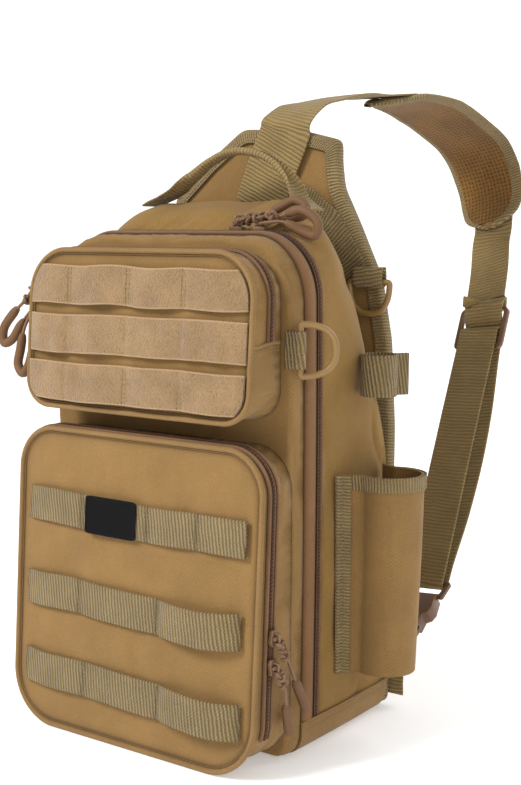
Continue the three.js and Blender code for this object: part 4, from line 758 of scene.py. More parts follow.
def shell(name, rings, seam, wall=CLOTH_WALL):
    """A closed cloth tray: its outer rings from the rim to the middle of its face, with the same rings moved
    in by the wall behind them."""
    rings = np.asarray(rings)
    centre = rings.mean(axis=(0, 1))
    inner = rings.copy()
    inner[..., 0] = centre[0] + (rings[..., 0] - centre[0]) * (1 - wall / 100)
    inner[..., 2] = centre[2] + (rings[..., 2] - centre[2]) * (1 - wall / 170)
    depth = rings[0, :, 1].mean() - rings[-1, :, 1].mean()
    inner[1:, :, 1] += np.sign(depth) * wall * np.linspace(0, 1, len(rings) - 1)[:, None]
    grid = np.concatenate([inner[::-1], rings])
    run = run_along(np.concatenate([rings[0], rings[0, :1]]))
    # The outer rings carry the painted shade by the seams, and the inner rings carry none.
    marks = np.concatenate([seam[::-1] * 0, seam])
    return grid_mesh(name, grid, run, np.arange(len(grid) + 1)[:, None], seam=marks)


def closing(ring, y_face, steps):
    """Rings that close a flat face: each is the last one shrunk towards its middle."""
    shares = np.concatenate([np.linspace(1, 0, steps)[1:-1], [0.004]])
    middle = ring.mean(0)
    rings = middle + (ring - middle) * shares[:, None, None]
    rings[..., 1] = y_face
    return rings


# Pockets

def pocket_outline(pocket, spread=0.0, out=0.0):
    """A pocket's rounded outline, in X and Z."""
    half = pocket["width"] / 2 * (1 + spread)
    low, high = pocket["low"], pocket["low"] + pocket["height"]
    top, bottom = (pocket["top"], pocket["top"], 2.0), (pocket["bottom"], pocket["bottom"], 2.0)
    return grown(outline(-half, half, low, high, [top, top, bottom, bottom]), out)


def level_of(pocket, share):
    """The height at a share of the way up a pocket."""
    return pocket["low"] + pocket["height"] * share


def pocket_depth(pocket, z):
    """How deep a pocket is at a height: it leans from its lower to its upper depth."""
    share = (z - pocket["low"]) / pocket["height"]
    return pocket["deep"][0] + (pocket["deep"][1] - pocket["deep"][0]) * share


def crowned(pocket, x, z):
    """How far a pocket's face stands out at a place: a crown by the larger share of the way to an edge."""
    across = np.abs(x) / (pocket["width"] / 2 - 3)
    up = np.abs(z - pocket["low"] - pocket["height"] / 2) / (pocket["height"] / 2 - 3)
    share = np.clip(np.maximum(across, up), 0, 1)
    return pocket["crown"] * np.interp(share, [0.0, 0.36, 0.72, 1.0], [1.0, 1.0, 0.62, 0.0])


def face_point(pocket, x, z, out):
    """A place in front of a pocket's face."""
    return places(x, POCKET_RIM - pocket_depth(pocket, z) - crowned(pocket, x, z) - out, z)


def pocket_line(pocket, share, out, spread=0.0):
    """The line round a pocket's gusset at a share of its depth."""
    points = pocket_outline(pocket, spread, out)
    return at_depth(points, POCKET_RIM - share * pocket_depth(pocket, points[:, 1]))


def row_line(pocket, low, height, wall, bars, bows, slope=0.0, steps=16):
    """The middle line of a row sewn down at bars: between them it stands off by a bow that follows the sine of
    the way across its cell to the power 0.7."""
    xs, bow = [], []
    t = np.linspace(0, 1, steps, endpoint=False)
    for start, end, rise in zip(bars[:-1], bars[1:], bows):
        xs.append(start + (end - start) * t)
        bow.append(rise * wall * np.sin(np.pi * t) ** 0.7)
    x = np.concatenate(xs + [[bars[-1]]]) * pocket["width"] / 2
    bow = np.concatenate(bow + [[0.0]])
    z = low + height / 2 + slope * x
    lift = 0.0
    for share in (-0.5, -0.25, 0.0, 0.25, 0.5):
        lift = np.maximum(lift, crowned(pocket, x, z + share * height) - crowned(pocket, x, z))
    return face_point(pocket, x, z, GAP * 1.3 + wall / 2 + lift + bow)


def face_up(pocket):
    """The way up a pocket's leaning face."""
    return unit(np.array([0.0, (pocket["deep"][0] - pocket["deep"][1]) / pocket["height"], 1.0]))


def clip_line(path, low):
    """The part of a closed line above a height, kept in order, with its ends set on that height."""
    above = path[:, 2] >= low
    first = np.argmax(above & ~np.roll(above, 1))
    ring = np.roll(path, -first, 0)
    kept = ring[ring[:, 2] >= low]
    kept[0, 2] = kept[-1, 2] = low
    return kept


def zip_profile(width, coil=1.0, lips=0.9):
    """A zip's section: a coil down the middle and a folded lip at each side, as three smooth humps."""
    u = np.linspace(-width / 2, width / 2, 41)
    humps = coil * np.exp(-(u / 1.1) ** 4) + lips * np.exp(-((np.abs(u) - width * 0.41) / (width * 0.1)) ** 4)
    return np.concatenate([places(u, -0.6), places(u[::-1], 0.35 + humps[::-1])])


# Operators

class PACK_OT_bag(bpy.types.Operator):
    """Builds the main bag: the front shell, the deep rear shell and the base band"""
    bl_idname = "pack.bag"
    bl_label = "Main bag"

    def execute(self, context):
        depth = context.scene.pack_sizes.crease_depth / MM
        self.front_shell(depth)
        self.rear_shell(depth)
        self.base_band()
        return {"FINISHED"}

    def front_shell(self, depth):
        """The front panel with its gusset: outlines from the rim to the face, with a rounded edge."""
        rows = [(SHELL_RIM - SHELL_SIDE * t, 0.5 * np.sin(np.pi * t)) for t in np.linspace(0, 1, 9)]
        turn = np.linspace(0, np.pi / 2, 7)[1:]
        rows += [(SHELL_RIM - SHELL_SIDE - EDGE * np.sin(a), -EDGE * (1 - np.cos(a))) for a in turn]
        rings, seam = [], []
        for y, out in rows:
            points = body_outline(y)
            run = run_along(points)
            away = y - SHELL_RIM
            push = pucker(away, run, 0.6, 3) + folds(run, y, 60, depth, 5)
            push = push + creased(run * 0.4, y, 36, depth * 1.6, 6)
            rings.append(at_depth(grown(points, out + held(push) * min(1, -away / 4 + 0.1)), y))
            # Painted shade beside the seam at the rim.
            seam.append(np.full(len(points), 0.9 * np.exp(-abs(away) / 1.5)))
        face = closing(rings[-1], SHELL_FACE, 18)
        x, z = face[..., 0], face[..., 2]
        face[..., 1] += np.abs(folds(x, z, 55, depth * 1.2, 9)) * np.linspace(0, 1, len(face))[:, None]
        rings = np.concatenate([rings, face])
        seam = np.concatenate([seam, np.zeros(face.shape[:2])])
        piece("main_front_shell_cloth", shell("front_shell", rings, seam), "cloth", "cloth", "main_front_shell")

    def rear_shell(self, depth):
        """The deep gusset: outlines down its depth, pushed out by soft folds and by puckers at its two seams."""
        rings, seam = [], []
        for y in np.linspace(REAR_FRONT, REAR_BACK - EDGE, 64):
            points = body_outline(y)
            run = run_along(points)
            near, far = y - REAR_FRONT, REAR_BACK - y
            push = folds(run, y, 70, depth * 1.3, 21) + folds(run, y * 0.3, 26, depth * 0.35, 22)
            push = push + pucker(near, run, 1.0, 23) + pucker(far, run, 1.0, 24)
            push = push + creased(run * 0.5, y, 86, depth * 1.9, 25)
            rings.append(at_depth(grown(points, held(push) * min(1.0, near / 5 + 0.15)), y))
            # Painted shade beside the front seam and the rear seam.
            seam.append(np.full(len(points), 0.9 * np.exp(-near / 1.6) + 0.6 * np.exp(-far / 2.5)))
        turn = np.linspace(0, np.pi / 2, 6)[1:]
        last = body_outline(REAR_BACK)
        for a in turn:
            rings.append(at_depth(grown(last, -EDGE * (1 - np.cos(a))), REAR_BACK - EDGE + EDGE * np.sin(a)))
            # Painted shade over the rounded rear edge.
            seam.append(np.full(len(last), 0.3))
        face = closing(rings[-1], REAR_BACK, 8)
        rings = np.concatenate([rings, face])
        seam = np.concatenate([seam, np.zeros(face.shape[:2])])
        piece("main_rear_shell_cloth", shell("rear_shell", rings, seam), "gusset", "cloth", "main_rear_shell")

    def base_band(self):
        """The band under the base: the lower part of the outline, moved out, between a front and a rear edge."""
        columns = []
        for y in np.linspace(WELT_SPAN[0], REAR_BACK - 3, 26):
            points = body_outline(y)
            ring = np.roll(points, len(points) // 2, 0)
            ring = ring[ring[:, 1] < BASE_HEIGHT]
            ring[0, 1] = ring[-1, 1] = BASE_HEIGHT
            middle = evenly(at_depth(ring, y), 90)
            tangent = unit(np.gradient(middle, axis=0))
            out = np.cross(BACK, tangent)
            hem = 0.35 * np.exp(-((middle[:, 2:] - BASE_HEIGHT) / 3.0) ** 2)
            outer = middle + out * (GAP + BASE_WALL + hem)
            columns.append(np.concatenate([outer, (middle + out * GAP)[::-1]]))
        grid = np.asarray(columns)
        grid[..., 2] = np.maximum(grid[..., 2], 0.0)
        v = np.linspace(0, 115, len(grid) + 1)[:, None]
        mesh = grid_mesh("base_band", grid, np.append(run_along(grid[0]), 0), v)
        piece("base_band_cloth", mesh, "cloth", "cloth", "base_band")
        rows = []
        for z in (BASE_HEIGHT - 2.2, BASE_HEIGHT - 6.0):
            for hand in (1, -1):
                y = np.linspace(WELT_SPAN[0] + 2, REAR_BACK - 6, 30)
                x = np.array([body_outline(v)[:, 0].max() for v in y]) * hand
                line = places(x + hand * (GAP + BASE_WALL), y, z)
                rows.append(stitches("base_row", line, RIGHT * hand))
        sewn("base_band_stitches", rows)


class PACK_OT_zips(bpy.types.Operator):
    """Builds the main zip with its welt, and the zips round both pockets"""
    bl_idname = "pack.zips"
    bl_label = "Zips and welt"

    def execute(self, context):
        for name, span, profile, kind, slot in [
            ("main_zip", ZIP_SPAN, zip_profile(6.4), "zip", "zip"),
            ("main_welt", WELT_SPAN, self.welt_profile(14.5), "welt", "welt"),
        ]:
            y = sum(span) / 2
            path = clip_line(at_depth(body_outline(y), y), BASE_HEIGHT + GAP)
            path = evenly(path, 420)
            # Painted shade: the seam attribute darkens each strip towards its two edges.
            edge = np.abs(profile[:, 0]).max() - np.abs(profile[:, 0])
            seam = np.repeat(0.95 * np.exp(-edge / 1.3)[None], 420, 0)
            piece(name + "_tape", sweep(name, path, BACK, profile, seam=seam), kind, slot, name)
        for pocket in (UPPER, LOWER):
            share = sum(pocket["zip"]) / 2
            line = pocket_line(pocket, share, GAP + 0.2, 0.008)
            path = evenly(clip_line(line, level_of(pocket, pocket["zip_low"])), 340)
            deep = sum(pocket["deep"]) / 2 * (pocket["zip"][1] - pocket["zip"][0])
            mesh = sweep(pocket["name"] + "_zip", path, BACK, zip_profile(deep, 1.0, 1.2) + [0, 0.5])
            piece(pocket["name"] + "_zip_tape", mesh, "zip", "zip", pocket["name"] + "_zip")
        return {"FINISHED"}

    def welt_profile(self, width):
        """A folded strip: one wide soft hump, with a fold line near its rear edge."""
        u = np.linspace(-width / 2, width / 2, 41)
        share = np.abs(u / (width / 2))
        hump = 2.3 * (1 - share ** 2.6) - 0.9 * np.exp(-((u - width * 0.3) / 0.8) ** 2)
        return np.concatenate([places(u, -CLOTH_WALL), places(u, 0.1 + hump)[::-1]])


class PACK_OT_pockets(bpy.types.Operator):
    """Builds the two front pockets with their piping"""
    bl_idname = "pack.pockets"
    bl_label = "Front pockets"

    def execute(self, context):
        depth = context.scene.pack_sizes.crease_depth / MM
        for seed, pocket in ((41, UPPER), (57, LOWER)):
            self.pocket_shell(pocket, depth, seed)
            path = pocket_line(pocket, 1.0, 0.0)
            mesh = sweep(pocket["name"] + "_piping", path, BACK, round_profile(PIPING), closed=True)
            piece(pocket["name"] + "_piping_cord", mesh, "piping", "cloth", pocket["name"] + "_piping")
        self.side_seams(UPPER)
        return {"FINISHED"}

    def side_seams(self, pocket):
        """The hem where a zip ends on each side of a pocket: a folded edge across the gusset with stitches
        under it."""
        hems, rows = [], []
        for hand in (1, -1):
            level = level_of(pocket, pocket["zip_low"]) - 2.0
            share = np.linspace(0.1, 0.97, 24)
            spread = np.interp(share, *POCKET_SPREAD)
            x = hand * (pocket["width"] / 2 * (1 + spread) + 0.7)
            y = POCKET_RIM - share * pocket_depth(pocket, level)
            z = level + 1.2 * np.sin(share * 5)
            hems.append(sweep("hem", places(x, y, z), UP, round_profile(1.0, 8) * [1.3, 0.8]))
            rows += [stitches("hem_row", places(x - hand * 0.3, y, z - drop), RIGHT * hand, 2.6, 1.2, 0.5)
                     for drop in (3.0, 5.2)]
        piece(pocket["name"] + "_side_hems", join("hems", hems), "cloth", "cloth")
        sewn(pocket["name"] + "_side_stitches", rows)

    def pocket_shell(self, pocket, depth, seed):
        """A pocket: outlines from its rim to its face with folds on the gusset, then the face, whose crown is
        drawn in where the rows are sewn down and beside the piping. Painted shade darkens it beside its seams
        and its piping."""
        rings, seam = [], []
        for share in np.linspace(0, 1, 26):
            points = pocket_outline(pocket, np.interp(share, *POCKET_SPREAD))
            run = run_along(points)
            deep = pocket_depth(pocket, points[:, 1])
            away = share * deep
            push = folds(run, away, 44, depth * 1.1, seed) + pucker(away, run, 1.0, seed + 1)
            push = push + pucker(deep - away, run, 0.6, seed + 2) + creased(run * 0.6, away, 46, depth * 1.7, seed + 5)
            in_zip = np.interp(share, [pocket["zip"][0] - 0.12, pocket["zip"][0], pocket["zip"][1],
                                       pocket["zip"][1] + 0.12], [0, 1, 1, 0])
            zipped = points[:, 1] > level_of(pocket, pocket["zip_low"]) - 4
            push = np.where(zipped, push * (1 - in_zip) - 0.4 * in_zip, push)
            push = held(push, 0.6) * np.clip(np.minimum(share, 1 - share) * 6, 0.0, 1)
            ring = at_depth(grown(points, push), POCKET_RIM - away)
            rings.append(ring)
            # Painted shade beside the rim seam and the face seam.
            seam.append(np.exp(-away / 2.2) + 0.9 * np.exp(-(deep - away) / 1.2))
        last = pocket_outline(pocket, 0.0)
        turn = np.linspace(0, np.pi / 2, 5)[1:]
        for a in turn:
            points = grown(last, -3 * (1 - np.cos(a)))
            rings.append(at_depth(points, POCKET_RIM - pocket_depth(pocket, points[:, 1]) + 3 - 3 * np.sin(a)))
            # Painted shade over the rounded face edge.
            seam.append(np.full(len(points), 0.5))
        rings[25][:, 1] += 3.0
        middle = np.array([0.0, level_of(pocket, 0.5)])
        edge = grown(last, -3.0)
        for share in 1 - np.linspace(0, 0.998, 38)[1:] ** 1.6:
            points = middle + (edge - middle) * share
            x, z = points[:, 0], points[:, 1]
            out = crowned(pocket, x, z)
            from_edge = (1 - share) * np.minimum(pocket["height"], pocket["width"]) / 2
            dip = (np.abs(folds(x, z, 42, depth * 0.5, seed + 3)) - creased(x, z * 0.7, 110, depth * 0.62, seed + 4))
            dip = dip * np.clip(from_edge / 10, 0, 1)
            dip = dip + 0.8 * np.exp(-from_edge / 3.0)
            rings.append(at_depth(points, POCKET_RIM - pocket_depth(pocket, z) - out + dip))
            # Painted shade beside the piping.
            seam.append(np.full(len(points), 0.9 * np.exp(-from_edge / 1.6)))
        mesh = shell(pocket["name"], rings, np.asarray(seam))
        piece(pocket["name"] + "_cloth", mesh, "cloth", "cloth", pocket["name"] + "_shell")


class PACK_OT_rows(bpy.types.Operator):
    """Builds the webbing rows, the loop-pile strips, their bar tacks and the bare label patch"""
    bl_idname = "pack.rows"
    bl_label = "Rows and label"

    def execute(self, context):
        tacks, lines = [], []
        for i, row in enumerate(WEB_ROWS):
            line = row_line(LOWER, level_of(LOWER, row["low"]), WEB, ROW_WALL, row["bars"], row["bows"], -0.012)
            lines.append(line)
            web(f"webbing_row_{i + 1}", line, face_up(LOWER), WEB, ROW_WALL, seam=self.pinch_shade(line, row["bars"]),
                reshape=lambda points, i=i: self.slack(points, 0.7, 0.5, 11 + i))
            tacks += self.tacks(LOWER, line, row["bars"], 21.0, 1.0)
        sewn("webbing_row_tacks", tacks)
        tacks = []
        for i, share in enumerate(PILE_LOWS):
            line = row_line(UPPER, level_of(UPPER, share), PILE, PILE_WALL, PILE_BARS, [1.1] * 4, steps=28)
            name = f"pile_strip_{i + 1}"
            mesh = sweep(name, line, face_up(UPPER), band_profile(PILE, PILE_WALL, 17),
                         reshape=lambda points, i=i: self.slack(self.fitted(points), 0.8, 1.2, 31 + i))
            piece(name + "_loop", mesh, "pile", "pile", name)
            tacks += self.tacks(UPPER, line, PILE_BARS, 25.0, 1.1)
        sewn("pile_strip_tacks", tacks)
        self.label(lines[0])
        return {"FINISHED"}

    def slack(self, points, rise, out, seed):
        """A strip hung with slack: soft folds along X move it up and down, and push it out where positive."""
        moved = points.copy()
        x, z = points[..., 0], points[..., 2]
        moved[..., 2] += folds(x, 0 * x, 70, rise, seed)
        moved[..., 1] -= np.maximum(folds(x, z * 0.6, 34, out, seed + 3), 0)
        return moved

    def pinch_shade(self, line, bars):
        """Painted shade: dark lines where the row is sewn down, for each point of its section."""
        away = np.min(np.abs(line[:, :1] - np.array(bars) * LOWER["width"] / 2), 1)
        return np.repeat(0.55 * np.exp(-(away / 1.5) ** 2)[:, None], len(band_profile(WEB, ROW_WALL)), 1)

    def fitted(self, points):
        """The strip's last 22 mm at each end, scaled along X so that it ends on the pocket's outline."""
        edge = pocket_outline(UPPER, 0.0, -PIPING - GAP * 2)
        edge = edge[edge[:, 0] > 0]
        edge = edge[np.argsort(edge[:, 1])]
        limit = np.interp(points[..., 2], edge[:, 1], edge[:, 0])
        ends = np.where(points[..., 0] > 0, PILE_BARS[-1], -PILE_BARS[0]) * UPPER["width"] / 2
        reach = np.abs(points[..., 0])
        share = np.clip((reach - ends + 22) / 22, 0, 1)
        fitted = points.copy()
        fitted[..., 0] = np.sign(points[..., 0]) * np.where(share > 0, ends - 22 + (limit - ends + 22) * share, reach)
        return fitted

    def tacks(self, pocket, line, bars, height, half_wall):
        """Two stitched lines down each bar, a few millimetres apart."""
        made = []
        up = face_up(pocket)
        for bar in bars[1:-1]:
            for aside in (-1.6, 1.6):
                x = bar * pocket["width"] / 2 + aside
                at = np.array([np.interp(x, line[:, 0], line[:, k]) for k in range(3)])
                span = np.linspace(-height / 2, height / 2, 12)[:, None]
                made.append(stitches("tack", at + up * span - BACK * half_wall, -BACK, 2.2, 0.7, 0.6))
        return made

    def label(self, line):
        """The patch: a thin rounded plate with a raised border, in front of the first row."""
        left = WEB_ROWS[0]["bars"][1] * 0.88 * LOWER["width"] / 2
        x = left + LABEL[0] / 2
        behind = line[(line[:, 0] > left) & (line[:, 0] < left + LABEL[0]), 1]
        front = behind.min() - ROW_WALL / 2 - GAP * 1.5 - 0.55
        z = level_of(LOWER, WEB_ROWS[0]["low"]) + WEB / 2 + 0.012 * x
        half = [size / 2 - 0.1 for size in LABEL]
        angle = np.linspace(0, 2 * np.pi, 96, endpoint=False)
        long, tall = bent(np.cos(angle), 0.14), bent(np.sin(angle), 0.14)
        rings = [places((half[0] - shrink) * long, out, (half[1] - shrink) * tall) for shrink, out in [
            (0.0, 0.55), (0.0, -0.2), (0.3, -0.5), (0.9, -0.55), (2.0, -0.55), (2.3, -0.35), (2.9, -0.3),
            (12.0, -0.3)]]
        grid = np.asarray([rings[0] * [0.5, 1, 0.5]] + rings)
        lean = face_up(LOWER)[1] / face_up(LOWER)[2]
        grid = grid + [x, front, z]
        grid[..., 1] += lean * (grid[..., 2] - z)
        piece("label_patch_plate", grid_mesh("label", grid), "label", "label", "label_patch")


class PACK_OT_back(bpy.types.Operator):
    """Builds the padded back panel, its binding, the grab handle and the yoke's patch"""
    bl_idname = "pack.back"
    bl_label = "Back panel and handle"

    def execute(self, context):
        self.panel(self.panel_line(0.0))
        self.binding()
        self.handle()
        self.patch()
        return {"FINISHED"}

    def panel_line(self, out):
        """The panel's outline, moved outwards, with its corners rounded. Each of its sides has the same count of
        points whatever the move, so that lines with different moves can be joined."""
        table = np.array([
            (0.955, 0.012, 0), (0.975, 0.3, 0), (0.975, 0.6, 0), (0.94, 0.78, 0), (0.86, 0.905, 0), (0.67, 1, 0.1),
            (0.545, 1, 0.42), (0.52, 1, 0.66), (0.52, 1, 0.86), (0.2, 1, 0.965), (-0.3, 1, 1), (-0.62, 1, 0.7),
            (-0.92, 1, 0.35), (-0.975, 1, 0.08), (-0.975, 0.7, 0), (-0.975, 0.35, 0), (-0.955, 0.012, 0),
        ])
        corners = places(table[:, 0] * BODY_WIDTH / 2, table[:, 1] * BODY_HEIGHT + table[:, 2] * YOKE_RISE)
        lengths = np.linalg.norm(np.roll(corners, -1, 0) - corners, axis=1)
        moved = grown(corners, out)
        sides = [np.linspace(a, b, max(3, int(length / 2.2)), endpoint=False)
                 for a, b, length in zip(moved, np.roll(moved, -1, 0), lengths)]
        return softened(np.concatenate(sides), 7)

    def panel(self, path):
        """A padded slab: the outline from its front face round a full edge to its rear face, each face crowned."""
        middle = path.mean(0)
        rings = []
        for share in np.concatenate([[0.004], np.linspace(0, 1, 16)[1:]]):
            points = middle + (grown(path, -3.0) - middle) * share
            rings.append(at_depth(points, 49.2 + 0.8 * np.exp(-(1 - share) * 30)))
        for a in np.linspace(0, np.pi, 9)[1:-1]:
            rings.append(at_depth(grown(path, -3 + 3 * np.sin(a)), PANEL_MIDDLE - 2.9 * np.cos(a)))
        for share in np.concatenate([np.linspace(1, 0, 40)[:-1], [0.004]]):
            points = middle + (grown(path, -3.0) - middle) * share
            swell = 1.2 * (1 - np.exp(-(1 - share) * 100 / 9))
            rings.append(at_depth(points, 55.2 + swell + folds(points[:, 0], points[:, 1], 60, 0.15, 71)))
        mesh = grid_mesh("back_panel", np.asarray(rings))
        filled(piece("back_panel_pad", mesh, "cloth", "cloth", "back_panel"), 5.0, 0.25)

    def binding(self):
        """A tape folded over the panel's edge: a U section of two legs and a round outside, each of its points a
        move outwards of the panel's outline. A row of stitches runs down each leg."""
        reach, half, wall = 12.0, TAPE_HALF, 1.3
        leg, front = np.linspace(-reach, -1.0, 7), np.linspace(3 - reach, -1.0, 7)
        turn = np.linspace(-np.pi / 2, np.pi / 2, 9)[1:-1]
        ones = np.ones(7)
        outer = [(-half * ones, front), (half * np.sin(turn), -1.0 + 2.6 * np.cos(turn)), (half * ones, leg[::-1])]
        slim = half - wall
        inner = [(slim * ones, leg), (-slim * np.sin(turn), -1.0 + 1.3 * np.cos(turn)), (-slim * ones, front[::-1])]
        y, out = (np.concatenate([part[k] for part in outer + inner]) for k in (0, 1))
        lines = [at_depth(self.panel_line(o), PANEL_MIDDLE + depth) for depth, o in zip(y, out)]
        across = run_along(places(y, out))
        along = run_along(np.concatenate([lines[10], lines[10][:1]]))
        mesh = grid_mesh("back_binding", np.stack(lines, 1), np.append(across, across[-1]), along[:, None],
                         along=True, ends=False)
        piece("back_binding_tape", mesh, "binding", "webbing", "back_binding")
        rows = []
        for side in (-1, 1):
            line = at_depth(self.panel_line(-9.5 if side > 0 else -7.0), PANEL_MIDDLE + side * (half + 0.05))
            rows.append(stitches("bound", np.concatenate([line, line[:1]]), BACK * side, 3.0, 1.6, 0.55))
        sewn("back_binding_stitches", rows)

    def handle(self):
        """The grab handle: webbing whose section curls from flat at its feet to a nearly closed roll."""
        table = np.array([
            (-0.83, 0.008, 0), (-0.77, 0.0, 0), (-0.7, 0.02, 0), (-0.56, 0.16, 0.2), (-0.41, 0.48, 0.8),
            (-0.26, 0.8, 1), (-0.08, 0.985, 1), (0.11, 0.94, 1), (0.26, 0.74, 1), (0.38, 0.42, 0.7),
            (0.47, 0.1, 0.1), (0.6, 0.0, 0),
        ])
        x = table[:, 0] * BODY_WIDTH / 2
        seat = np.max([[top_at(HANDLE_Y + s * WEB, v) for v in x] for s in (-0.5, -0.25, 0, 0.25, 0.5)], 0)
        z = seat + GAP * 2 + THIN_WALL / 2 + table[:, 1] * HANDLE_RISE
        path = smooth_path(places(x, HANDLE_Y, z), 90)
        fold = np.interp(path[:, 0], x, table[:, 2])
        s, v = band_profile(WEB, THIN_WALL, 15).T
        radius = WEB / 2 / np.maximum(fold * np.pi * 0.8, 0.02)[:, None]
        profile = places((radius + v) * np.sin(s / radius), (radius + v) * np.cos(s / radius) - radius)
        profile[..., 1] = profile[..., 1] * (1 - 0.42 * fold[:, None]) + fold[:, None] * 1.5
        piece("grab_handle_web", sweep("grab_handle", path, BACK, profile), "strap", "webbing", "grab_handle")
        rows = []
        for start, end in ((-84, -66), (53, 62)):
            xs = np.array([start, end, end, start, start, end])
            ys = np.array([-4.5, -4.5, 14.5, 14.5, -4.5, 14.5])
            zs = np.array([max(top_at(HANDLE_Y + s * WEB, v) for s in (-0.5, 0, 0.5)) for v in xs])
            zs = zs + GAP * 2 + THIN_WALL
            rows.append(stitches("foot", evenly(places(xs, ys, zs), 60), UP, lift=0.3))
        sewn("grab_handle_stitches", rows)

    def patch(self):
        """The diagonal webbing in front of the yoke."""
        table = np.array([(0.2, 1, 0.33, 0), (0.275, 1, 0.27, 0), (0.36, 1, 0.19, 1), (0.46, 1, 0.09, 1),
                          (0.55, 0.98, 0, 1), (0.63, 0.943, 0, 1), (0.69, 0.908, 0, 1)])
        points = places(table[:, 0] * BODY_WIDTH / 2, 48.0 - 1.7 * table[:, 3],
                        table[:, 1] * BODY_HEIGHT + table[:, 2] * YOKE_RISE)
        web("yoke_patch", evenly(points, 40), unit(np.array([0.45, 0, 1.0])), WEB, THIN_WALL)


STRAP_REACH = 275.0
STRAP_RISE = BODY_HEIGHT + YOKE_RISE + 26.0
TWIST = math.radians(11)
STRAP_ACROSS = np.array([math.cos(TWIST), -math.sin(TWIST), 0.0])
# The pad's middle line, as shares of half the bag's width, of the strap's reach and of its rise, then its width
# as a share of 68 mm and the turn of its right edge outwards.
PAD_PATH = np.array([
    (0.29, 0.49, 0.9957, 0.16, 0), (0.335, 0.55, 1.0034, 0.62, 0), (0.376, 0.622, 1.0072, 0.9, 0.08),
    (0.452, 0.745, 0.9949, 1, 0.15), (0.519, 0.857, 0.9685, 1, 0.15), (0.586, 0.953, 0.9349, 1, 0.15),
    (0.64, 1.0, 0.8891, 0.98, 0.12), (0.692, 1.004, 0.8388, 0.92, 0.04), (0.727, 0.973, 0.8005, 0.72, 0),
    (0.741, 0.959, 0.7842, 0.46, 0),
])


def strap_points(table):
    """Places of the strap: shares of half the bag's width, of the strap's reach and of its rise."""
    return np.asarray(table, float)[:, :3] * [BODY_WIDTH / 2, STRAP_REACH, STRAP_RISE]


def pad_line(count):
    """The pad's middle line, the ways of its width and of its outer face, and its half width. The way across is
    turned outwards by the table's tilt."""
    table = strap_points(PAD_PATH)
    path = smooth_path(table, count)
    share = run_along(table) / run_along(table)[-1]
    half, tilt = (np.interp(np.linspace(0, 1, count), share, PAD_PATH[:, k]) for k in (3, 4))
    tangent = unit(np.gradient(path, axis=0))
    side = unit(STRAP_ACROSS - np.sum(STRAP_ACROSS * tangent, 1, keepdims=True) * tangent)
    side = unit(side + np.cross(side, tangent) * tilt[:, None])
    return path, side, np.cross(side, tangent), half * PAD_HALF


ADJUSTER = strap_points([(0.865, 0.811, 0.5944)])[0]
LOWER_BAR = strap_points([(0.93, 0.44, 0.1738)])[0]
LINE_LENGTH = float(np.linalg.norm(LOWER_BAR - ADJUSTER))
LINE_DOWN = (LOWER_BAR - ADJUSTER) / LINE_LENGTH
LINE_ACROSS = unit(STRAP_ACROSS - STRAP_ACROSS @ LINE_DOWN * LINE_DOWN)
LINE_OUT = np.cross(LINE_DOWN, LINE_ACROSS)
LINE_OUT = LINE_OUT * np.sign(LINE_OUT[1])
FOLD = BAR * 0.71 + GAP * 1.7 + STRAP_WALL / 2


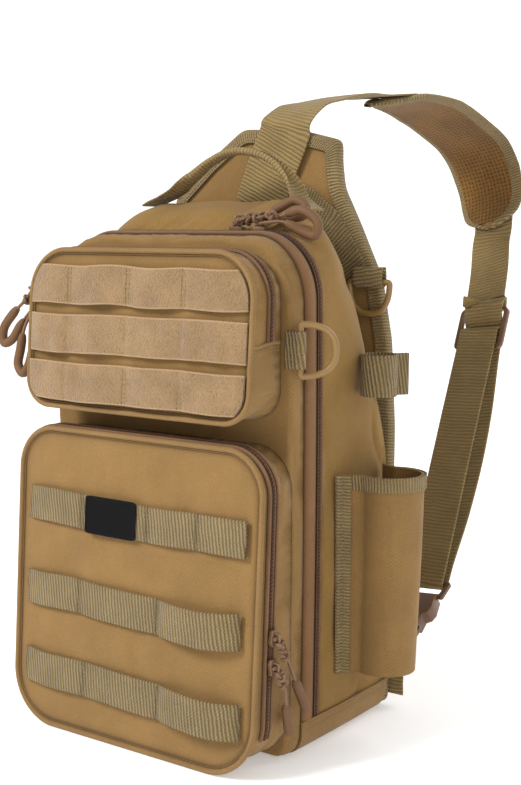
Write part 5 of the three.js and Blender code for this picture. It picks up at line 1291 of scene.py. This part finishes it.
class PACK_OT_strap(bpy.types.Operator):
    """Builds the strap: yoke webbing, padded shoulder pad with mesh and binding, and the lower webbing"""
    bl_idname = "pack.strap"
    bl_label = "Shoulder strap"

    def execute(self, context):
        self.yoke_web()
        self.pad()
        self.lower_web()
        self.tab()
        return {"FINISHED"}

    def yoke_web(self):
        """The webbing from the yoke to the pad."""
        points = strap_points([
            (-0.135, 0.1645, 0.815), (-0.02, 0.1645, 0.88), (0.09, 0.1645, 0.936), (0.112, 0.1655, 0.955),
            (0.15, 0.215, 0.981), (0.187, 0.3, 0.994), (0.245, 0.415, 1.008), (0.29, 0.49, 1.009),
            (0.335, 0.55, 1.0125), (0.365, 0.6, 1.0155),
        ])
        path = smooth_path(points, 110)
        behind = np.clip((path[:, 1:2] - BACK_FACE) / (0.15 * STRAP_REACH), 0, 1)
        above = np.clip((BODY_HEIGHT + YOKE_RISE - path[:, 2:]) / YOKE_RISE, 0, 1)
        across = RIGHT * (1 - behind) + STRAP_ACROSS * behind - UP * 0.42 * above * (1 - behind)
        web("yoke_webbing", path, across, YOKE_WEB, THIN_WALL, "strap", 15, 0.3)

    def pad(self):
        """The pad: a superellipse section whose width follows the table and rounds off at both ends."""
        path, side, out, half = pad_line(120)
        run = run_along(path)
        from_end = np.minimum(run[-1] - run, 16.0) / 16.0
        half = half * np.sqrt(np.clip(1 - (1 - from_end) ** 2, 0.03, 1))
        thick = 3.0 * np.clip(half / 14.0, 0.35, 1) - 0.3
        angle = np.linspace(0, 2 * np.pi, 48, endpoint=False)

        def surface(angles, more, inset=0.0):
            return places((half[:, None] - inset + more) * bent(np.cos(angles), 0.55),
                          (thick[:, None] + more) * bent(np.sin(angles), 0.85))

        body = surface(angle[None], 0.0, 0.6)
        # Painted shade: a dark line across the pad at six tenths of its length.
        seam = np.repeat((0.6 * np.exp(-((run - run[-1] * 0.6) / 1.2) ** 2))[:, None], 48, 1)
        made = piece("shoulder_pad_cushion", sweep("shoulder_pad", path, side, body, seam=seam), "cloth", "cloth",
                     "shoulder_pad")
        filled(made, 3.0, 0.25)
        under = np.linspace(np.pi * 1.06, np.pi * 1.94, 30)[None]
        section = np.concatenate([surface(under, 0.5, 0.6), surface(under, 0.1, 0.6)[:, ::-1]], 1)[6:-3]
        piece("shoulder_pad_mesh_cover", sweep("pad_mesh", path[6:-3], side[6:-3], section), "mesh", "mesh",
              "shoulder_pad_mesh")
        limit = lambda leg: np.arccos(np.clip(1 - leg / half, 0.25, 0.9) ** (1 / 0.55))[:, None]
        edges = []
        for turn, above, below in ((0.0, 11.0, 9.0), (np.pi, 5.5, 11.0)):
            share = np.linspace(-1, 1, 21)[None]
            swing = turn + np.where(share > 0, limit(above), limit(below)) * share
            grid = np.concatenate([surface(swing, 0.8), surface(swing, 0.2)[:, ::-1]], 1)
            edges.append(sweep("edge", path, side, grid))
        piece("shoulder_pad_binding_tape", join("pad_binding", edges), "binding", "webbing", "shoulder_pad_binding")
        rows = []
        for turn, leg, under in ((1, 10.2, 1), (1, 8.2, -1), (-1, 10.2, 1), (-1, 4.7, -1)):
            u = turn * (half - leg)
            v = under * (thick + 0.75) * np.clip(1 - (np.abs(u) / half) ** 3.6, 0.1, 1) ** 0.47
            line = path + side * u[:, None] + out * v[:, None]
            rows.append(stitches("pad_row", line[12:-10], out[12:-10] * under, 3.0, 1.4, 0.5))
        sewn("shoulder_pad_stitches", rows)

    def lower_web(self):
        """The strap's webbing: over the pad's end, through the adjuster, down to the buckle's bar, round it, and
        back up to the adjuster's bar."""
        path, side, out, _ = pad_line(25)
        on_pad = path[-7:] + out[-7:] * 4.6
        middle = strap_points([(0.75, 0.96, 0.758), (0.795, 0.915, 0.705), (0.84, 0.853, 0.648)])
        beside = lambda down, away: ADJUSTER + LINE_DOWN * down + LINE_OUT * away
        doubled = lambda rows: [beside(d * LINE_LENGTH + n * 1.8, o * 1.8) for d, n, o in rows]
        around = lambda centre, start: [
            beside(centre + FOLD * math.sin(a), FOLD * math.cos(a)) for a in np.linspace(start, start + math.pi, 9)]
        there = doubled([(0, -15.5, -2.1), (0, -11.4, -2.1), (0, -6.4, 0), (0, -0.6, 3.5), (0, 8, 3.4),
                         (0.3, 0, 7.2), (0.5, 0, 8.3), (0.72, 0, 6.6), (0.92, 0, 2.8)])
        back = doubled([(0.92, 0, -1.9), (0.5, 0, -2.2), (0.2, 0, -2.0), (0, 7.8, -1.85), (0, 2.5, -1.8)])
        route = np.array([*on_pad, *middle, *there, *around(LINE_LENGTH, 0), *back, *around(0, math.pi)])
        web("strap_webbing", smooth_path(route, 420), LINE_ACROSS, STRAP_WEB, STRAP_WALL, "strap", 13)

    def tab(self):
        """The webbing tab round the buckle's bar, both layers sewn flat to the back panel."""
        tab_point = strap_points([(0.82, 0.226, 0.086)])[0]
        to_tab = tab_point - LOWER_BAR
        along = unit(to_tab - to_tab @ LINE_ACROSS * LINE_ACROSS)
        out = np.cross(LINE_ACROSS, along)
        out = out * np.sign(out[2])
        bar = BUCKLE_FRAME + GAP + HOUSING + TAB_SLOT + BAR / 2
        spot = lambda a, o: LOWER_BAR + along * a + out * o
        foot = lambda z: np.array([spot(bar, 0)[0], BACK_FACE + GAP * 3.5 + STRAP_WALL / 2, z])
        z = tab_point[2]
        route = np.array([
            foot(z * 1.6), foot(z * 1.25), spot(bar + 5.5, 3.1), spot(bar, FOLD), spot(bar - FOLD * 0.75, FOLD * 0.75),
            spot(bar - FOLD, 0), spot(bar - FOLD * 0.75, -FOLD * 0.75), spot(bar, -FOLD), spot(bar + 5.5, -3.1),
            foot(z * 0.55), foot(z * 0.2),
        ])
        line = smooth_path(route, 90)
        inwards = np.clip(np.minimum(np.arange(90), 89 - np.arange(90)) / 89 * 10 - 1.6, 0, 1)[:, None]
        across = RIGHT * (1 - inwards) + LINE_ACROSS * inwards
        web("buckle_tab", line, across, TAB_WEB, STRAP_WALL, "strap")


class PACK_OT_hardware(bpy.types.Operator):
    """Builds the D-rings with their loops, the adjuster, the buckle and the zip sliders"""
    bl_idname = "pack.hardware"
    bl_label = "Rings, buckles and sliders"

    def execute(self, context):
        for name in ("strap_adjuster", "buckle_clip", "buckle_housing"):
            self.moulded(name, 0.7, "brown_plastic", "brown_plastic")
        for name in ("main_1", "main_2", "upper_1", "upper_2", "lower_1", "lower_2"):
            self.moulded("slider_" + name, 0.35, "slider", "slider")
        for name, hand in (("right", 1), ("left", -1)):
            bar = np.array([hand * 1.052 * BODY_WIDTH / 2, SHELL_FACE + 1.4, 284.0])
            turn = math.radians(34)
            out = np.array([hand * math.cos(turn), math.sin(turn), 0.0])
            self.ring("d_ring_" + name, bar, out, UP, name + "_ring")
            self.loop("d_ring_loop_" + name, bar, RIGHT * -hand, -BACK, UP, (9.5, 3.6), 0.9)
        bar = np.array([0.42 * BODY_WIDTH, 41.3, 0.9 * BODY_HEIGHT])
        self.ring("d_ring_yoke", bar, -UP, RIGHT, "yoke_ring")
        self.loop("d_ring_loop_yoke", bar, UP, -BACK, RIGHT, (11.0, 11.0), 0.75)
        return {"FINISHED"}

    def moulded(self, name, radius, kind, slot):
        """A moulded piece: its solid with the loose triangles joined and its edges rounded."""
        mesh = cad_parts[name].data.copy()
        mesh.materials.clear()
        made = piece(name + "_moulding", mesh, kind, slot, name)
        modifier(made, "WELD", merge_threshold=0.02 * MM)
        modifier(made, "DECIMATE", decimate_type="DISSOLVE", angle_limit=math.radians(2))
        modifier(made, "BEVEL", width=radius * MM, segments=3, limit_method="ANGLE", angle_limit=math.radians(30))
        mesh.shade_smooth()

    def ring(self, name, bar, out, along, body):
        """A D-ring: a circle carried round a straight bar and a bow, their corners softened."""
        angle = np.linspace(-np.pi / 2, np.pi / 2, 61)
        bow = places(23.4 * bent(np.cos(angle), 0.8), 17.2 * bent(np.sin(angle), 0.8))
        line = softened(evenly(np.concatenate([bow, bow[:1]]), 121)[:-1], 7)
        path = bar + out * line[:, :1] + along * line[:, 1:]
        mesh = sweep(name, path, np.cross(out, along), round_profile(RING_BAR, 16), closed=True)
        piece(name + "_moulding", mesh, "tan_plastic", "tan_plastic", name, body=body)

    def loop(self, name, bar, away, out, across, runs, pinch):
        """A webbing loop: two layers that run from where they are sewn to the bar and meet round it."""
        radius = RING_BAR + GAP + THIN_WALL / 2
        turn = np.linspace(0, np.pi, 13)[:, None]
        round_bar = bar + out * radius * np.cos(turn) - away * radius * np.sin(turn)
        layer = lambda share, side: (bar + away * runs[0 if side > 0 else 1] * share
                                     + out * side * radius * (1 + (pinch - 1) * max(0, 2 * share - 1)))
        points = np.array([layer(1, 1), layer(0.5, 1), *round_bar, layer(0.5, -1), layer(1, -1)])
        web(name, smooth_path(points, 60), across, WEB, THIN_WALL)


# The pulls' routes, in cord radii from the slider's bridge, and the shares between which each is a grip.
PULLS = {
    "main_1": (True, 0.24, 0.8, [
        (0, -2, 0), (0, 2, 0), (11, 9, 3.8), (21, 15.5, 10.5), (29, 17, 14), (37.5, 16, 10.5), (38, 13, 5.5),
        (30, 10.5, 4), (21, 8.5, 3.8), (11, 3.5, 4.6), (5, -3, 2.7)]),
    "main_2": (True, 0.24, 0.8, [
        (0, -2, 0), (0, 2, 0), (17, 3.5, 6), (27.5, 4, 8), (37, 5, 1), (35, 5.5, -6), (27.5, 4, -4), (17, 0, 1.3),
        (7.5, -3, 1)]),
    "upper_1": (True, 0.26, 0.72, [
        (0, 2, 0), (0, -2, 0), (-8.5, -6, -12), (-17, -7.5, -20), (-25, -9, -31), (-24, -9.5, -39),
        (-18.5, -8.5, -37), (-12.5, -5, -26), (-4, 1.3, -12), (-1, 3, -6)]),
    "upper_2": (True, 0.26, 0.76, [
        (0, 2, 0), (0, -2, 0), (-7.5, -6.5, -13), (-10, -9, -29), (-11, -10, -38), (-6.5, -10.5, -43),
        (-3.5, -9, -39), (-2, -6, -28), (-1.3, 0, -12), (-1, 3, -6)]),
    "lower_1": (False, 0.6, 1.01, [(0, -2.5, 0), (0, 2.2, 0), (2, 7.5, -13), (1.7, 17, -30), (1.3, 27, -47)]),
    "lower_2": (False, 0.6, 1.01, [(0, -2.5, 0), (0, 2.2, 0), (1.7, 5, -10), (1.3, 8.5, -27), (1, 12, -41)]),
}
CORD = 1.2

# Knots in the cords: the place of each from its slider's bridge, in millimetres, and its size.
KNOTS = {
    "main_1": [(3.5, -2.0, 3.6, 1.5), (10.5, 1.5, 4.2, 1.8), (18.0, 3.0, 5.0, 1.5)],
    "main_2": [(1.5, -3.0, 3.6, 1.6), (9.5, 0.5, 5.0, 1.7)],
    "upper_1": [(-5.5, -3.5, -6.5, 1.2), (-10.0, -5.5, -14.0, 1.3)],
    "upper_2": [(-5.0, -3.5, -7.5, 1.3)],
    "lower_1": [(3.0, 1.5, -5.0, 1.4), (3.0, 5.0, -12.0, 1.3)],
    "lower_2": [(3.0, 1.5, -5.0, 1.4), (2.6, 3.8, -11.0, 1.3)],
}


class PACK_OT_pulls(bpy.types.Operator):
    """Builds the six zip pulls: thin cords with soft moulded grips"""
    bl_idname = "pack.pulls"
    bl_label = "Zip pulls"

    def execute(self, context):
        for name, (closed, start, end, route) in PULLS.items():
            low, high = (np.array(corner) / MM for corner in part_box("slider_" + name))
            eye = (low + high) / 2
            if name.startswith("main"):
                eye[2] = low[2] + 4.5
            else:
                eye[0] = low[0] + 4.5 if name.startswith("lower") else high[0] - 4.5
            self.pull(name, eye + np.array(route) * CORD, closed, start, end)
            knots = [self.knot(name, eye + spot, size) for *spot, size in KNOTS[name]]
            piece("pull_" + name + "_knots", join("knots", knots), "cord", "pull")
        return {"FINISHED"}

    def knot(self, name, centre, size):
        """An overhand knot: a trefoil, x = sin t + 2 sin 2t, y = cos t - 2 cos 2t, z = -1.6 sin 3t, that a round
        cord follows, turned about Z by an angle of its own."""
        t = np.linspace(0, 2 * np.pi, 49)[:-1]
        line = places(np.sin(t) + 2 * np.sin(2 * t), np.cos(t) - 2 * np.cos(2 * t), -1.6 * np.sin(3 * t))
        turn = centre[0] * 1.7 + centre[2]
        c, s = np.cos(turn), np.sin(turn)
        line = line @ np.array([[c, s, 0], [-s * 0.5, c * 0.5, 0.87], [s * 0.87, -c * 0.87, 0.5]])
        return sweep("knot", centre + line * 0.82 * size, UP, round_profile(CORD, 8), closed=True)

    def pull(self, name, points, closed, start, end):
        """A round section along the route: thin where it is cord, and swelling smoothly into the grip."""
        rows = 120
        path = smooth_path(points, rows + 1 if closed else rows, closed)[:rows]
        share = np.arange(rows) / rows
        inside = np.clip(np.minimum(share - start, end - share) / 0.05, 0, 1)
        radius = CORD + np.where(inside > 0, 0.5 + 1.7 * np.sqrt(inside), 0)
        centre = path.mean(0)
        normal = np.sum(np.cross(path - centre, np.roll(path, -1, 0) - centre), 0)
        profile = radius[:, None, None] * round_profile(1.0, 14)
        slots = (inside > 0).astype(int)
        mesh = sweep("pull_" + name, path, unit(normal), profile, closed=closed, slots=slots)
        piece("pull_" + name + "_grip", mesh, ["cord", "pull"], "pull", "pull_" + name)


class PACK_OT_rod_holder(bpy.types.Operator):
    """Builds the rod sleeve with its two tapes, and the rod loop above it"""
    bl_idname = "pack.rod_holder"
    bl_label = "Rod sleeve and loop"

    def execute(self, context):
        levels = np.linspace(SLEEVE_LOW, SLEEVE_HIGH, 40)
        self.sleeve(levels)
        self.tapes(levels)
        self.rod_loop()
        return {"FINISHED"}

    def section(self, z, grow, columns=49):
        """The sleeve's section at a height: an open round of 224 degrees that runs into two flat feet."""
        taper = 0.92 + 0.08 * (z - SLEEVE_LOW) / (SLEEVE_HIGH - SLEEVE_LOW)
        angle = np.radians(np.linspace(-SLEEVE_TURN, SLEEVE_TURN, columns))
        radius = (SLEEVE_RADIUS + grow) * taper
        foot = side_at(SLEEVE_Y, z) + GAP
        centre = foot + SLEEVE_RADIUS * taper
        arc = places(centre + radius * np.cos(angle), SLEEVE_Y + radius * np.sin(angle))
        reach = SLEEVE_REACH * taper + grow * 0.4
        flat = lambda hand: np.array([(foot + 0.2, SLEEVE_Y + hand * reach)])
        ease = lambda a, b: a + (b - a) * np.linspace(0, 1, 8)[:, None] ** np.array([1.6, 1.0])
        return np.concatenate([ease(flat(-1), arc[:1])[:-1], arc, ease(flat(1), arc[-1:])[:-1][::-1]])

    def wall(self, name, levels, inner, outer, pick=slice(None), bend=None):
        """A wall between two sections, up through the levels."""
        grid = []
        for z in levels:
            a, b = self.section(z, outer)[pick], self.section(z, inner)[pick]
            grid.append(places(*np.concatenate([a, b[::-1]]).T, z))
        grid = np.asarray(grid)
        if bend is not None:
            count = grid.shape[1] // 2
            run = run_along(grid[0, :count])
            grid[:, :count, 0] += bend(run[None], levels[:, None])
        run = run_along(grid[0])
        return grid_mesh(name, grid, np.append(levels, levels[-1])[:, None], np.append(run, run[-1]))

    def sleeve(self, levels):
        """The sleeve's cloth, with upright folds."""
        mesh = self.wall("rod_sleeve", levels, -2.0, 0.0, bend=lambda u, z: folds(u, z * 0.25, 24, 0.25, 91))
        piece("rod_sleeve_cloth", mesh, "cloth", "cloth", "rod_sleeve")

    def tapes(self, levels):
        """The tape over the front seam and the tape round the mouth, with a zigzag of stitches on each."""
        grid = []
        for z in np.linspace(levels[0], levels[-1] + GAP, 60):
            section = self.section(z, 0.36)
            foot, seam = section[0] + [0.2, 0], section[7]
            middle = np.linspace(foot, foot + (seam - foot) * 0.5, 9)
            middle = np.concatenate([places(foot[0], foot[1] + np.linspace(-5.6, -1, 5)), middle])
            middle = softened_line(middle)
            tangent = unit(np.gradient(middle, axis=0))
            out = places(tangent[:, 1], -tangent[:, 0])
            grid.append(places(*np.concatenate([middle + out * 1.5, middle[::-1]]).T, z))
        grid = np.asarray(grid)
        run = run_along(grid[0])
        mesh = grid_mesh("front_tape", grid, np.append(run, run[-1]), np.linspace(0, 143, len(grid) + 1)[:, None])
        piece("rod_sleeve_front_tape_web", mesh, "binding", "webbing", "rod_sleeve_front_tape")
        step = np.arange(42)
        z = np.linspace(52, 189, 42)
        column = np.where(step % 2, 3, 10)
        line = np.array([grid[np.argmin(np.abs(grid[:, 0, 2] - level)), c] for level, c in zip(z, column)])
        line[:, 2] = z
        rows = [stitches("zigzag", evenly(line, 400), (0.4, -1, 0), 2.6, 0.6, 0.6)]
        top = np.linspace(182.05, 192.35, 8)
        mesh = self.wall("top_tape", top, 0.36, 1.7, pick=slice(3, 64))
        piece("rod_sleeve_top_tape_web", mesh, "binding", "webbing", "rod_sleeve_top_tape")
        for level in (184.0, 190.0):
            line = places(*self.section(level, 1.75)[7:56].T, level)
            rows.append(stitches("mouth", line, unit(line - line.mean(0)), 2.4, 1.0, 0.5))
        sewn("rod_sleeve_stitches", rows)

    def rod_loop(self):
        """A ring of webbing whose two ends close on each other as a short tail."""
        radius, y, z = ROD_LOOP
        centre = np.array([side_at(y, z) + GAP * 2.5 + radius + 0.7, y, z])
        turn = math.radians(62)
        tail = np.array([math.cos(turn), math.sin(turn), 0.0])
        aside = np.array([-tail[1], tail[0], 0.0])
        apart = (GAP * 2 + THIN_WALL) / 2
        opening = math.asin((apart + 1) / radius)
        angle = turn + np.linspace(opening, 2 * math.pi - opening, 60)
        ring = centre + radius * places(np.cos(angle), np.sin(angle), 0.0)
        ends = lambda side, reaches: [centre + tail * (radius + 0.7 + r) + aside * apart * side for r in reaches]
        route = np.array([*ends(1, (11, 5.5, 1.5)), *ring[2:-2], *ends(-1, (1.5, 5.5, 11))])
        web("rod_loop", smooth_path(route, 150), UP, ROD_WEB, THIN_WALL)


# The lamps: the place of each in metres, its size in metres and its power in watts.
LAMPS = [
    ("key", (-1.0, -2.0, 2.0), 0.9, 76), ("fill", (1.9, -1.3, 0.8), 1.4, 15), ("rim", (0.8, 1.9, 1.7), 1.4, 24),
]


class PACK_OT_stage(bpy.types.Operator):
    """Sets up the pale floor, the soft studio light and the camera at the photograph's angle"""
    bl_idname = "pack.stage"
    bl_label = "Floor, light and camera"

    def execute(self, context):
        scene = context.scene
        self.floor(scene)
        self.camera(scene)
        for name, place, size, power in LAMPS:
            lamp = bpy.data.lights.new(name, "AREA")
            lamp.size, lamp.energy = size, power
            made = bpy.data.objects.new(name, lamp)
            made.location = place
            made.rotation_euler = (Vector((0, 0, 0.2)) - Vector(place)).to_track_quat("-Z", "Y").to_euler()
            scene.collection.objects.link(made)
        world = bpy.data.worlds.new("studio")
        world.use_nodes = True
        tree = world.node_tree
        sky = tree.nodes["Background"]
        sky.inputs["Color"].default_value = (1.0, 1.0, 1.0, 1.0)
        seen = node(tree, "LightPath", {}, "Is Camera Ray")
        strength = node(tree, "Math", [seen, 0.6, 0.46], operation="MULTIPLY_ADD")
        tree.links.new(strength, sky.inputs["Strength"])
        scene.world = world
        scene.view_settings.view_transform = "Standard"
        return {"FINISHED"}

    def floor(self, scene):
        """A pale floor that turns up into a backdrop: a flat run, a quarter circle and a straight rise."""
        turn = np.linspace(0, np.pi / 2, 24)
        line = np.concatenate([[(-3500.0, 0.0)], places(1500 + 900 * np.sin(turn), 900 - 900 * np.cos(turn)),
                               [(2400.0, 3200.0)]])
        grid = places(np.linspace(-3500, 3500, 5), line[:, :1], line[:, 1:])
        mesh = grid_mesh("floor", grid, around=False, ends=False)
        made = bpy.data.objects.new("floor", mesh)
        paint, add, shader, here, *_ = plain("matt studio paint", 0.9, 0.1)
        shade = uneven(add, here, linear("#f6f6f6"), 0.01, 400, 60)
        paint.node_tree.links.new(shade, shader.inputs["Base Color"])
        shader.inputs["Emission Color"].default_value = (1.0, 1.0, 1.0, 1.0)
        shader.inputs["Emission Strength"].default_value = 0.28
        mesh.materials.append(paint)
        scene.collection.objects.link(made)

    def camera(self, scene):
        """The camera: azimuth 35.6 and 6.9 degrees down, turned by 0.3 degrees, with the lens that gives the
        photograph's focal length of 1306.9 pixels over 785 pixels."""
        azimuth, pitch, roll = math.radians(35.6), math.radians(6.9), math.radians(0.3)
        back = Vector((math.sin(azimuth) * math.cos(pitch), -math.cos(azimuth) * math.cos(pitch), math.sin(pitch)))
        right = Vector((math.cos(azimuth), math.sin(azimuth), 0.0))
        up = right.cross(-back)
        turned = right * math.cos(roll) + up * math.sin(roll)
        up = up * math.cos(roll) - right * math.sin(roll)
        data = bpy.data.cameras.new("camera")
        data.lens = 1306.9 / 785 * data.sensor_width
        made = bpy.data.objects.new("camera", data)
        place = Vector((46.0, -35.1, 246.6)) * MM + back * 939.6 * MM
        made.matrix_world = Matrix.Translation(place) @ Matrix((turned, up, back)).transposed().to_4x4()
        scene.collection.objects.link(made)
        scene.camera = made


class PackSizes(bpy.types.PropertyGroup):
    """Sizes that a user would change."""
    crease_depth: bpy.props.FloatProperty(
        name="Crease depth", description="How far the soft folds of the cloth stand out", default=1.5 * MM,
        min=0.0, max=0.003, unit="LENGTH")
    pucker_depth: bpy.props.FloatProperty(
        name="Pucker depth", description="How far the cloth puckers beside its seams", default=1.3 * MM,
        min=0.0, max=0.003, unit="LENGTH")


def colour_of(name, code, what):
    """A colour setting."""
    return bpy.props.FloatVectorProperty(
        name=name, description="Colour of " + what, default=linear(code)[:3], subtype="COLOR", min=0.0, max=1.0)


class PackColours(bpy.types.PropertyGroup):
    """Colours that a user would change."""
    cloth: colour_of("Cloth", "#87693e", "the bag's face cloth")
    gusset: colour_of("Gusset", "#866734", "the bag's side cloth")
    welt: colour_of("Welt", "#7d5b3b", "the strip beside the main zip")
    piping: colour_of("Piping", "#856840", "the cord round the pockets")
    webbing: colour_of("Webbing", "#917d55", "the rows and loops")
    strap: colour_of("Strap", "#8f7a4e", "the strap's webbing")
    binding: colour_of("Binding", "#937f56", "the binding and tapes")
    pile: colour_of("Pile", "#8c7150", "the loop-pile strips")
    coil: colour_of("Zip coil", "#5e3f2c", "the zips' teeth")
    tape: colour_of("Zip tape", "#74553a", "the zips' tapes")
    mesh: colour_of("Mesh", "#7a5727", "the pad's underside")
    label: colour_of("Label", "#08080a", "the bare patch")
    ring: colour_of("Rings", "#86683a", "the D-rings")
    buckle: colour_of("Buckles", "#5c3c1e", "the adjuster and the buckle")
    pull: colour_of("Pulls", "#694c33", "the pulls' grips")
    cord: colour_of("Cords", "#84654a", "the pulls' cords")
    slider: colour_of("Sliders", "#6b4f36", "the zip sliders")
    thread: colour_of("Thread", "#96825a", "the stitches")


class PACK_PT_panel(bpy.types.Panel):
    """Lists the pack's pieces"""
    bl_idname = "PACK_PT_panel"
    bl_label = "Sling pack"
    bl_space_type = "VIEW_3D"
    bl_region_type = "UI"
    bl_category = "Sling pack"

    def draw(self, context):
        for group in (context.scene.pack_sizes, context.scene.pack_colours):
            for name in group.__annotations__:
                self.layout.prop(group, name)
        for operator in OPERATORS:
            self.layout.operator(operator.bl_idname)


OPERATORS = [
    PACK_OT_bag, PACK_OT_zips, PACK_OT_pockets, PACK_OT_rows, PACK_OT_back, PACK_OT_strap,
    PACK_OT_hardware, PACK_OT_pulls, PACK_OT_rod_holder, PACK_OT_stage,
]
CLASSES = [PackSizes, PackColours, *OPERATORS, PACK_PT_panel]


def register():
    for kind in CLASSES:
        bpy.utils.register_class(kind)
    bpy.types.Scene.pack_sizes = bpy.props.PointerProperty(type=PackSizes)
    bpy.types.Scene.pack_colours = bpy.props.PointerProperty(type=PackColours)


def unregister():
    del bpy.types.Scene.pack_colours
    del bpy.types.Scene.pack_sizes
    for kind in reversed(CLASSES):
        bpy.utils.unregister_class(kind)


def main():
    """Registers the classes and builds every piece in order."""
    register()
    for operator in OPERATORS:
        group, name = operator.bl_idname.split(".")
        getattr(getattr(bpy.ops, group), name)()


if __name__ == "__main__":
    main()
